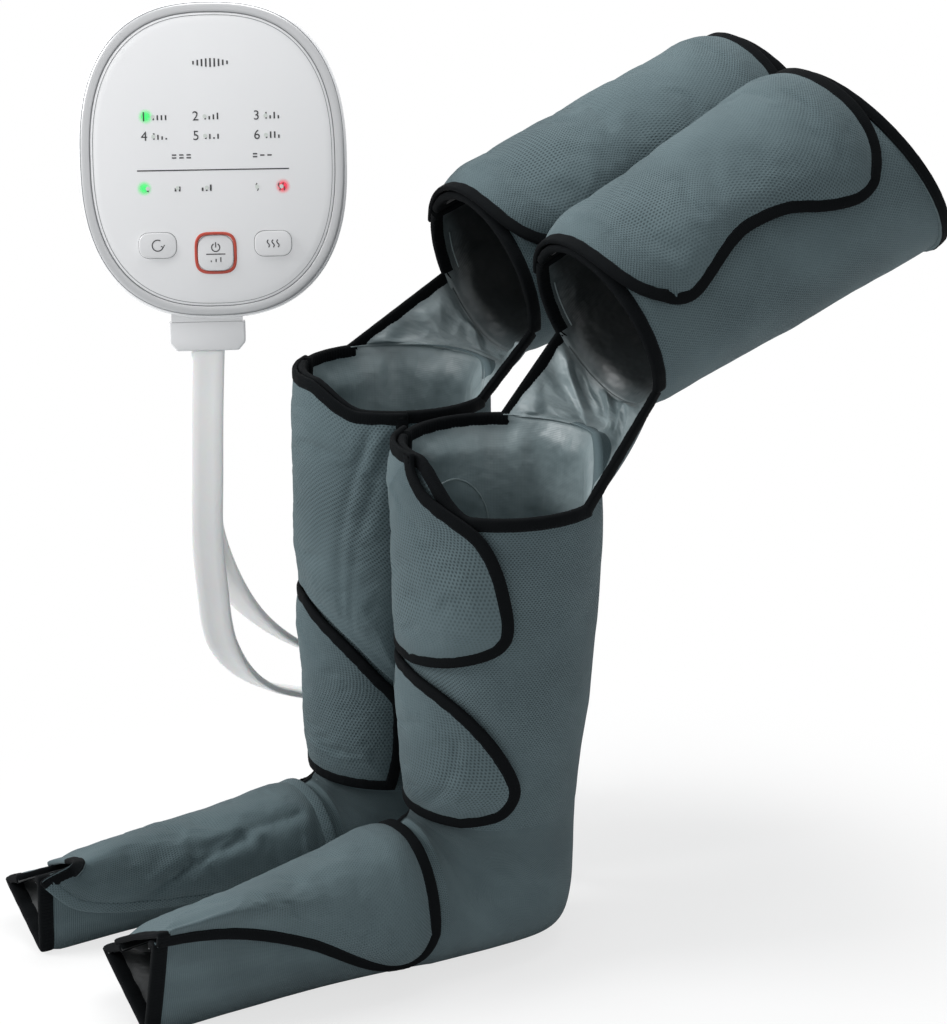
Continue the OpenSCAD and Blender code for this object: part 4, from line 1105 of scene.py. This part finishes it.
whitePlastic = moulded("glossyWhite", (0.82, 0.82, 0.83), 0.26, coat=0.35)
facePlastic = moulded("facePlate", (0.90, 0.90, 0.91), 0.20, coat=0.5)
ringMetal = moulded("satinSilver", (0.56, 0.565, 0.575), 0.36, metallic=0.35, speck=0.05)
# Dark rings at the bezel's edges: painted shade of the gaps round the ring, and a fine dark line on the face
gapShadeAndLineMetal = moulded("ringLineAndGapShade", (0.20, 0.205, 0.215), 0.35, metallic=0.4)
keyPlastic = moulded("keyWhite", (0.78, 0.78, 0.79), 0.32, coat=0.2)
ringRed = moulded("orangeRed", (0.50, 0.045, 0.018), 0.30, coat=0.3)
printInk = moulded("printInk", (0.030, 0.030, 0.033), 0.5)
hosePlastic = moulded("hoseWhite", (0.93, 0.93, 0.925), 0.38, coat=0.05, subsurface=0.15)
boardGreen = moulded("solderMask", (0.010, 0.075, 0.035), 0.35)
partBlack = moulded("mouldedBlack", (0.012, 0.012, 0.013), 0.45)
ledResin = moulded("clearResin", (0.70, 0.74, 0.70), 0.2)
pumpGrey = moulded("mouldedGrey", (0.05, 0.055, 0.06), 0.5)
softRubber = moulded("softRubber", (0.010, 0.010, 0.010), 0.7)
platedSteel = moulded("platedSteel", (0.46, 0.47, 0.48), 0.32, metallic=1.0)
nozzleGrey = moulded("nozzleGrey", (0.50, 0.51, 0.52), 0.4)
airFilm = moulded("airFilm", (0.55, 0.58, 0.55), 0.45)
heatFilm = moulded("heaterFilm", (0.50, 0.17, 0.07), 0.4)
# Materials of the CAD pieces that stay, by a word of their names
innerParts = {
    "bladder": airFilm, "heater": heatFilm, "board": boardGreen, "switches": partBlack, "leds": ledResin,
    "guide": ledResin, "pump_mounts": softRubber, "air_pump": pumpGrey, "valves": platedSteel,
    "manifold": pumpGrey, "tubes": airFilm, "socket": whitePlastic, "dc_jack": partBlack,
    "screws": platedSteel, "nozzles": nozzleGrey, "seals": softRubber, "inlet": whitePlastic,
    "cover": whitePlastic,
}
for node, piece in frame["nodes"].items():
    for word, material in innerParts.items():
        if word in node:
            piece.data.materials.clear()
            piece.data.materials.append(material)


def toControl(piece, sharp=40):
    piece.data.transform(controlPlace)
    piece.data.set_sharp_from_angle(angle=math.radians(sharp))
    return piece


def frontZ(x, y):
    return domeHeight(x, y, control["frontDome"], control["front"])


def rearZ(x, y):
    return -domeHeight(x, y, control["rearDome"], control["rear"])


def turned(name, profile, surface, material):
    # Closed shell from rows of inset, share of the way out, on the dome or flat, and height
    def place(u, v, step):
        inset, scale, onDome, height = profile[step]
        halves = control["width"]/2 - inset, control["height"]/2 - inset
        x, y = [c*scale for c in roundedSection(2*math.pi*u + 0.01, *halves, control["power"])]
        return Vector((x, y, surface(x, y) + height if onDome else height))

    return gridTube(name, control["around"], len(profile) - 1, place, [material], caps=False, weld=1e-5)


def settledMesh(piece):
    bpy.context.view_layer.update()
    return bpy.data.meshes.new_from_object(piece.evaluated_get(bpy.context.evaluated_depsgraph_get()))


def thickened(bm, depth):
    # The face in bm becomes a solid, depth thick towards +Z
    verts, faces = extruded(bm)
    bmesh.ops.translate(bm, vec=(0, 0, depth), verts=verts)
    return inOrder(bm)


def roundedPlate(x, y, width, height, radius, low, high, segments=10):
    bm = bmesh.new()
    ring = bmesh.ops.create_circle(bm, cap_ends=True, segments=4*segments, radius=1)["verts"]
    for i, vert in enumerate(ring):
        quarter = int(i/segments)
        angle = math.radians(90*quarter + 90*(i % segments)/(segments - 1))
        cx = (width/2 - radius)*(1 if quarter in (0, 3) else -1)
        cy = (height/2 - radius)*(1 if quarter in (0, 1) else -1)
        vert.co = (x + cx + radius*math.cos(angle), y + cy + radius*math.sin(angle), low)
    return thickened(bm, high - low)


def roundPin(x, y, radius, low, high, segments):
    bm = bmesh.new()
    bmesh.ops.create_cone(bm, cap_ends=True, segments=segments, radius1=radius, radius2=radius,
                          depth=high - low, matrix=Matrix.Translation((x, y, (low + high)/2)))
    return bm


def rounded(bm, edges, offset):
    bmesh.ops.bevel(bm, geom=edges, offset=offset, segments=4, profile=0.5, affect="EDGES", material=-1)
    return bm


def cutAway(piece, cutters):
    # Takes the cutters out of a closed piece for good
    tools = []
    for bm in cutters:
        tool = meshObject("cutter", bm, [], smooth=False)
        modifier = piece.modifiers.new("cut", "BOOLEAN")
        modifier.operation = "DIFFERENCE"
        modifier.solver = "EXACT"
        modifier.object = tool
        tools.append(tool)
    piece.data = settledMesh(piece)
    piece.modifiers.clear()
    for tool in tools:
        bpy.data.objects.remove(tool)
    return piece


keys = {"names": ["program", "power", "heat"], "at": [(-48, -70), (0, -77), (48, -70)],
        "width": [31, 29.5, 31], "height": [21, 29.5, 21], "radius": [8, 9.5, 8], "proud": [1.4, 0.9, 1.4],
        "gap": 0.35, "thick": 7.5, "stemFoot": 12.0, "ringPower": 3.6, "ringInset": 2.5}


def keyTop(i):
    return frontZ(*keys["at"][i]) + keys["proud"][i]


def makeCase():
    inward = [1 - i/14 for i in range(1, 15)]
    outward = [i/14 for i in range(15)]
    front = [(3.2, 1, False, 0.15), (1.0, 1, False, 0.15), (0.25, 1, False, 0.5), (0, 1, False, 1.2),
             (0, 1, False, 5.0), (0, 1, True, -5.0), (0.2, 1, True, -3.2), (0.7, 1, True, -1.7),
             (1.5, 1, True, -0.7), (2.4, 1, True, -0.35), (2.5, 1, True, -1.6), (10.5, 1, True, -1.6),
             (10.6, 1, True, -0.2), (11.0, 1, True, 0.0)]
    front += [(11.0, share, True, 0.0) for share in inward] + [(12.5, share, True, -3.0) for share in outward]
    front += [(3.2, 1, True, -5.5), (3.2, 1, False, 0.15)]
    case = turned("front_case", front, frontZ, facePlastic)
    holes = []
    for i, (x, y) in enumerate(keys["at"]):
        width, height, radius = [keys[key][i] for key in ("width", "height", "radius")]
        gap = keys["gap"]
        holes.append(roundedPlate(x, y, width + 2*gap, height + 2*gap, radius + gap, 8, 40))
    dress(toControl(cutAway(case, holes), 32), "hand_control", "case_white", "front_cover")

    rear = [(3.2, 1, False, -0.15), (1.0, 1, False, -0.15), (0.25, 1, False, -0.5), (0, 1, False, -1.2),
            (0, 1, False, -3.5), (0, 1, True, 8.5), (0.4, 1, True, 5.5), (1.6, 1, True, 3.1),
            (3.6, 1, True, 1.3), (6.5, 1, True, 0.35), (10, 1, True, 0.0)]
    rear += [(10, share, True, 0.0) for share in inward] + [(13, share, True, 2.5) for share in outward]
    rear += [(5, 1, True, 7.0), (3.2, 1, False, -3.5), (3.2, 1, False, -0.15)]
    back = turned("rear_case", rear, rearZ, whitePlastic)
    wells = [roundPin(x, y, 3.4, -37, -7, 32) for x in (-80, 80) for y in (-70, 70)]
    dress(toControl(cutAway(back, wells), 32), "hand_control", "case_white", "rear_cover")

    # Bezel: a rounded silver ring between darker lines; the dark rings at its outer and inner edges are
    # painted shade of the gaps beside it, and a fine dark ring lies further in
    ring = [(2.75, -1.6), (2.75, -0.1), (3.1, 0.45), (4.2, 0.85), (6.4, 1.0), (8.6, 0.85), (9.8, 0.45),
            (10.25, -0.1), (10.25, -1.6), (2.75, -1.6)]
    bezel = turned("silver_bezel", [(inset, 1, True, z) for inset, z in ring], frontZ, ringMetal)
    dress(toControl(bezel, 50), "hand_control", "bezel_silver", "bezel_ring")
    for label, inset, width in (("outer", 2.35, 0.55), ("inner", 10.3, 0.55), ("fine", 12.6, 0.45)):
        thin = [(inset, -0.3), (inset, 0.14), (inset + width, 0.14), (inset + width, -0.3), (inset, -0.3)]
        line = turned("bezel_line_" + label, [(inset, 1, True, z) for inset, z in thin], frontZ, gapShadeAndLineMetal)
        dress(toControl(line, 50), "hand_control", "bezel_silver")


def makeKeys():
    for i, (x, y) in enumerate(keys["at"]):
        top = keyTop(i)
        base = top - keys["thick"]
        node = keys["names"][i] + "_button"
        body = keys["names"][i] + "_key"
        cap = roundedPlate(x, y, keys["width"][i], keys["height"][i], keys["radius"][i], base, top)
        rounded(cap, [edge for edge in cap.edges if all(v.co.z > top - 0.01 for v in edge.verts)], 0.9)
        dress(toControl(meshObject(node + "_cap", cap, [keyPlastic])), body, "key_white", node)
        stem = roundPin(x, y, 2.0, keys["stemFoot"], base + 1, 20)
        dress(toControl(meshObject(node + "_stem", stem, [keyPlastic])), body, "key_white")

    # Orange-red ring round the power key: a rounded square by angle
    x, y = keys["at"][1]
    profile = [(0, -1.2), (0, 0.2), (0.3, 0.6), (1.2, 0.78), (2.0, 0.6), (2.4, 0.2), (2.4, -1.2), (0, -1.2)]

    def place(u, v, step):
        inset, z = profile[step]
        half = keys["width"][1]/2 + keys["gap"] + keys["ringInset"] - inset
        c, s = math.cos(2*math.pi*u), math.sin(2*math.pi*u)
        power = keys["ringPower"]
        reach = min(half*1.22, half/((abs(c)**power + abs(s)**power)**(1/power)))
        px, py = x + reach*c, y + reach*s
        return Vector((px, py, frontZ(px, py) + z))

    ring = gridTube("power_glow_ring", 96, len(profile) - 1, place, [ringRed], caps=False, weld=1e-5)
    dress(toControl(ring, 50), "hand_control", "ring_red", "power_button_ring")


makeCase()
makeKeys()


def inkOnto(name, source, body="hand_control", height=frontZ, at=(0, 0)):
    # A curve or text becomes a thin print that follows the surface under it
    flat, lift = 0.2, 0.12
    drawing = sceneObject("drawing", source)
    mesh = settledMesh(drawing)
    bpy.data.objects.remove(drawing)
    for vert in mesh.vertices:
        x, y = vert.co.x + at[0], vert.co.y + at[1]
        vert.co = (x, y, height(x, y) + lift + vert.co.z*flat)
    mesh.transform(controlPlace)
    mesh.materials.clear()
    mesh.materials.append(printInk)
    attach(sceneObject(name, mesh), body)


def strokes(lines, width):
    curve = bpy.data.curves.new("strokes", "CURVE")
    curve.dimensions = "3D"
    curve.bevel_depth = width/2
    curve.bevel_resolution = 2
    curve.use_fill_caps = True
    for points in lines:
        spline = curve.splines.new("POLY")
        spline.points.add(len(points) - 1)
        for place, point in zip(spline.points, points):
            place.co = (*point, 0, 1)
    return curve


def numeral(text, size):
    curve = bpy.data.curves.new("numeral", "FONT")
    curve.body = text
    curve.size = size
    curve.extrude = 0.3
    curve.align_x = "CENTER"
    curve.align_y = "CENTER"
    return curve


def arc(x, y, radius, start, end, count=18):
    angles = [mix(start, end, i/count) for i in range(count + 1)]
    return [(x + radius*cosd(angle), y + radius*sind(angle)) for angle in angles]


def bar(x, low, high):
    return [(x, low), (x, high)]


def wave(x, low, swing):
    return [(x + swing*math.sin(i*0.9), low + 0.9*i) for i in range(8)]


def inRow(x, count, step):
    # Count places a step apart, with x in the middle
    return [x + (k - (count - 1)/2)*step for k in range(count)]


# Six modes: the pressure pattern of each programme, and where their signs stand
modes = {"patterns": [[3, 3, 3, 3], [1, 2, 3, 4], [4, 2, 4, 2], [4, 3, 2, 1], [1, 3, 1, 3], [2, 4, 4, 2]],
         "columns": [-48.7, -5.9, 44.5], "rows": [36, 20], "numeral": 11.0, "bar": 3.4, "level": 1.35}


def printLegends():
    bars = []
    for i, pattern in enumerate(modes["patterns"]):
        x, y = modes["columns"][i % 3], modes["rows"][i//3]
        inkOnto("mode_numeral_%d" % (i + 1), numeral(str(i + 1), modes["numeral"]), at=(x - 7.5, y))
        for k, level in enumerate(pattern):
            low = y - 2.6
            bars.append(bar(x + 0.5 + modes["bar"]*k, low, low + modes["level"]*level))
    zones = []
    for x, filled in ((-26.0, 3), (41.0, 1)):
        for k in range(3):
            px = x - 6 + 6*k
            height = 1.2 if k < filled else 0.0
            zones += [[(px - 1.8, z), (px + 1.8, z)] for z in (3.4 - height, 3.4 + height)]
    levels = []
    for x, count in ((-54.6, 1), (-30, 2), (-5.9, 3)):
        levels += [bar(px, -25.4, -22.6 + 1.2*k) for k, px in enumerate(inRow(x, count, 3.4))]
    warmth = [wave(px, -26, 0.9) for x, count in ((36, 1), (56.3, 2)) for px in inRow(x, count, 3.6)]
    title = []
    for k in range(9):
        high = 1.0 + 2.6*math.sin(math.pi*(k + 0.5)/9)
        title.append(bar(-14 + 3.5*k, 80 - high, 80 + high))
    inkOnto("mode_patterns", strokes(bars, 1.3))
    inkOnto("zone_marks", strokes(zones, 1.1))
    inkOnto("panel_line", strokes([[(-63 + 126*i/24, -8.0) for i in range(25)]], 1.0))
    inkOnto("intensity_marks", strokes(levels, 1.5))
    inkOnto("warmth_marks", strokes(warmth, 0.9))
    inkOnto("pressure_wave_mark", strokes(title, 1.4))
    x, y = keys["at"][0]
    program = [arc(x, y, 4.6, 60, 345), [(x + 2.6, y - 0.6), (x + 4.6, y - 1.4), (x + 5.6, y + 0.5)]]
    x, y = keys["at"][1]
    power = [arc(x, y + 4.6, 3.4, 120, 420), bar(x, y + 4.6, y + 9.0), [(x - 8, y - 1.0), (x + 8, y - 1.0)]]
    power += [bar(x - 4 + 4*k, y - 7.6, y - 6.2 + 1.3*k) for k in range(3)]
    x, y = keys["at"][2]
    heat = [wave(x + 4*k, y - 3.2, 1.0) for k in (-1, 0, 1)]
    for i, lines in enumerate([program, power, heat]):
        name = keys["names"][i]
        inkOnto(name + "_mark", strokes(lines, 0.9), name + "_key", lambda px, py: keyTop(i))


printLegends()


def glowDisc(name, x, y, colour):
    half = 7.5
    g = newGraph(name)
    px, py = [c - 0.5 for c in g.split(g.clothMap())]
    glow = 1 - g.smooth(g.function("SQRT", px*px + py*py), 0.05, 0.48)
    material = g.finish({"Base Color": (*colour, 1), "Alpha": glow*0.85, "Roughness": 0.5,
                         "Emission Color": (*colour, 1), "Emission Strength": 0.55})
    bm = bmesh.new()
    bmesh.ops.create_grid(bm, x_segments=12, y_segments=12, size=half)
    mapCloth(bm, lambda vert: (vert.co.x/(2*half) + 0.5, vert.co.y/(2*half) + 0.5))
    for vert in bm.verts:
        vx, vy = vert.co.x + x, vert.co.y + y
        vert.co = (vx, vy, frontZ(vx, vy) + 0.05)
    dress(toControl(meshObject(name, bm, [material])), "hand_control")


glowDisc("mode_glow", -54.5, 36.5, (0.05, 0.72, 0.16))
glowDisc("intensity_glow", -57.5, -22.5, (0.05, 0.72, 0.16))
glowDisc("warmth_glow", 57.5, -22.5, (0.75, 0.02, 0.06))
print("hand control made")


# Plug and hoses
plug = {"x": -9, "width": 64, "height": 24.4, "depth": 20, "top": 264/2 + 3.2}


def makePlug():
    bm = bmesh.new()
    half, low, top = plug["width"]/2, -plug["top"] - plug["height"], -plug["top"]
    slope = {"down": 7, "in": 6}
    corners = [(-half, top), (-half, low + slope["down"]), (-half + slope["in"], low),
               (half - slope["in"], low), (half, low + slope["down"]), (half, top)]
    bm.faces.new([bm.verts.new((x + plug["x"], y, -plug["depth"]/2)) for x, y in corners])
    thickened(bm, plug["depth"])
    rounded(bm, [edge for edge in bm.edges if not all(v.co.y > top - 0.01 for v in edge.verts)], 1.8)
    block = toControl(meshObject("hose_plug_block", bm, [whitePlastic]))
    dress(block, "leg_wraps", "case_white", "hose_plug")


makePlug()
routes = [
    [[-271, -131, 433, 66], [-268, -134, 400, 66], [-265, -138, 350, 66], [-263, -138, 305, 62],
     [-259, -125, 262, 46], [-260, -99, 222, 28], [-264, -62, 189, 16], [-273, -20, 165, 12],
     [-281, 28, 148, 8], [-280, 76, 130, -2], [-265, 112, 102, -20], [-238, 136, 66, -42],
     [-203, 148, 32, -65], [-166, 148, 10, -87], [-130, 132, 4, -111], [-98, 112, 4, -126],
     [-72, 92, 10, -136], [-54, 74, 38, -144], [-47, 62, 84, -144], [-46, 58, 122, -144]],
    [[-261, -135, 434, 66], [-258, -138, 400, 66], [-255, -141, 350, 66], [-254, -143, 300, 66],
     [-253, -140, 250, 62], [-255, -133, 206, 50], [-260, -112, 171, 32], [-271, -80, 145, 18],
     [-283, -40, 127, 10], [-292, 5, 108, 5], [-294, 48, 86, 0], [-284, 86, 66, -20],
     [-262, 104, 54, -52], [-241, 97, 58, -100], [-228, 80, 80, -134], [-222, 64, 114, -144]],
]
hose = {"width": 28, "thick": 7, "apart": 5.5, "inletAt": 234, "inletZ": 150, "inletWall": 1, "inletHalf": 7}


def inletPoint(side):
    near = leg["ankleHalfDepth"] + leg["calfGrowDepth"]*calfGrowth(side, hose["inletZ"])
    middle = near + cloth["layerGap"] + hose["inletWall"] + hose["inletHalf"]
    centreY = calfPoint(side, hose["inletZ"], 0, 0).y
    return [leg["axis"][side] + middle*cosd(hose["inletAt"]), centreY - middle*sind(hose["inletAt"]),
            hose["inletZ"], 90 - hose["inletAt"]]


def makeHose(side):
    name = sides[side]
    exit = controlAt + controlX*plug["x"] - controlY*(plug["top"] + plug["height"])
    exit += controlN*hose["apart"]*(-1 if side == 0 else 1)
    rough = [[exit.x, exit.y, exit.z, control["turn"]]] + routes[side] + [inletPoint(side)]
    line = curveThrough(rough, 4)
    centres = [Vector(p[:3]) for p in line]
    last = len(line) - 1
    frames = []
    for i, centre in enumerate(centres):
        if i == 0:
            tangent = -controlY
        elif i == last:
            tangent = Vector((0, 0, 1))
        else:
            tangent = (centres[i + 1] - centres[i - 1]).normalized()
        wide = Vector((cosd(line[i][3]), sind(line[i][3]), 0))
        wide = (wide - tangent*wide.dot(tangent)).normalized()
        frames.append((centre, wide, tangent.cross(wide)))
    length = sum((b - a).length for a, b in zip(centres, centres[1:]))*0.001

    def place(u, v, step):
        centre, wide, deep = frames[step]
        x, y = roundedSection(2*math.pi*u, hose["width"]/2, hose["thick"]/2, 4.0)
        y *= 1 - 0.16*math.exp(-(x/2.2)**2)
        return (centre + wide*x + deep*y)*0.001

    made = gridTube(name + "_flat_hose", 40, last, place, [hosePlastic],
                    lambda u, v: (u*0.06, v*length), weld=1e-5)
    dress(made, "leg_wraps", "hose_white", name + "_air_hose")
    print(name, "hose length", round(length, 3))


for side in range(2):
    makeHose(side)
for node in ("hose_socket", "left_hose_inlet", "right_hose_inlet"):
    bevel = frame["nodes"][node].modifiers.new("edges", "BEVEL")
    bevel.width = 0.0006
    bevel.segments = 2
print("hoses made")


# Studio: white floor and background for the camera, soft light on the object
studio = {
    "world": 0.38, "aim": Vector((-0.1, 0.05, 0.35)),
    "lamps": [("keyLamp", (-1.1, -2.4, 1.9), 1.3, 66), ("topLamp", (-0.3, 0.3, 2.6), 1.5, 40),
              ("fillLamp", (2.2, -0.6, 1.2), 1.6, 3)],
}


def makeStudio():
    g = newGraph("studioFloor")
    where = g.add("ShaderNodeTexCoord", {}, {}, 3)
    grey = g.blend(g.grain(where, 3.0, 2.0)*0.02, (0.9, 0.9, 0.9, 1), (0.85, 0.85, 0.85, 1))
    shade = g.add("ShaderNodeBsdfDiffuse", {}, {"Color": grey})
    white = g.add("ShaderNodeEmission", {}, {"Color": (1, 1, 1, 1), "Strength": 1.0})
    rays = g.add("ShaderNodeLightPath", {}, {}, 0)
    far = g.add("ShaderNodeVectorMath", {"operation": "LENGTH"}, {0: where}, 1)
    share = rays*(0.70 + 0.30*g.smooth(far, 0.28, 0.62))
    mixed = g.add("ShaderNodeMixShader", {}, {0: share, 1: shade, 2: white})
    g.add("ShaderNodeOutputMaterial", {}, {"Surface": mixed})
    bm = bmesh.new()
    bmesh.ops.create_grid(bm, x_segments=4, y_segments=4, size=4)
    floor = meshObject("studio_floor", bm, [g.owner])
    floor.location.z = -0.0012

    # The background is white to the camera and in reflections, and a soft light to everything else
    w = Graph(bpy.data.worlds.new("studioWorld"))
    bpy.context.scene.world = w.owner
    soft = w.add("ShaderNodeBackground", {}, {"Color": (0.95, 0.98, 1.0, 1), "Strength": studio["world"]})
    bright = w.add("ShaderNodeBackground", {}, {"Color": (1, 1, 1, 1), "Strength": 1.0})
    camera, glossy = [w.add("ShaderNodeLightPath", {}, {}, ray) for ray in ("Is Camera Ray", "Is Glossy Ray")]
    seen = w.add("ShaderNodeMath", {"operation": "MAXIMUM"}, {0: camera, 1: glossy})
    mixed = w.add("ShaderNodeMixShader", {}, {0: seen, 1: soft, 2: bright})
    w.add("ShaderNodeOutputWorld", {}, {"Surface": mixed})
    for name, place, size, power in studio["lamps"]:
        lamp = bpy.data.lights.new(name, "AREA")
        lamp.size = size
        lamp.energy = power
        lampObject = sceneObject(name, lamp)
        lampObject.location = place
        lampObject.rotation_euler = (studio["aim"] - Vector(place)).to_track_quat("-Z", "Y").to_euler()


makeStudio()
bpy.context.scene.view_settings.view_transform = "Standard"
print("studio made")
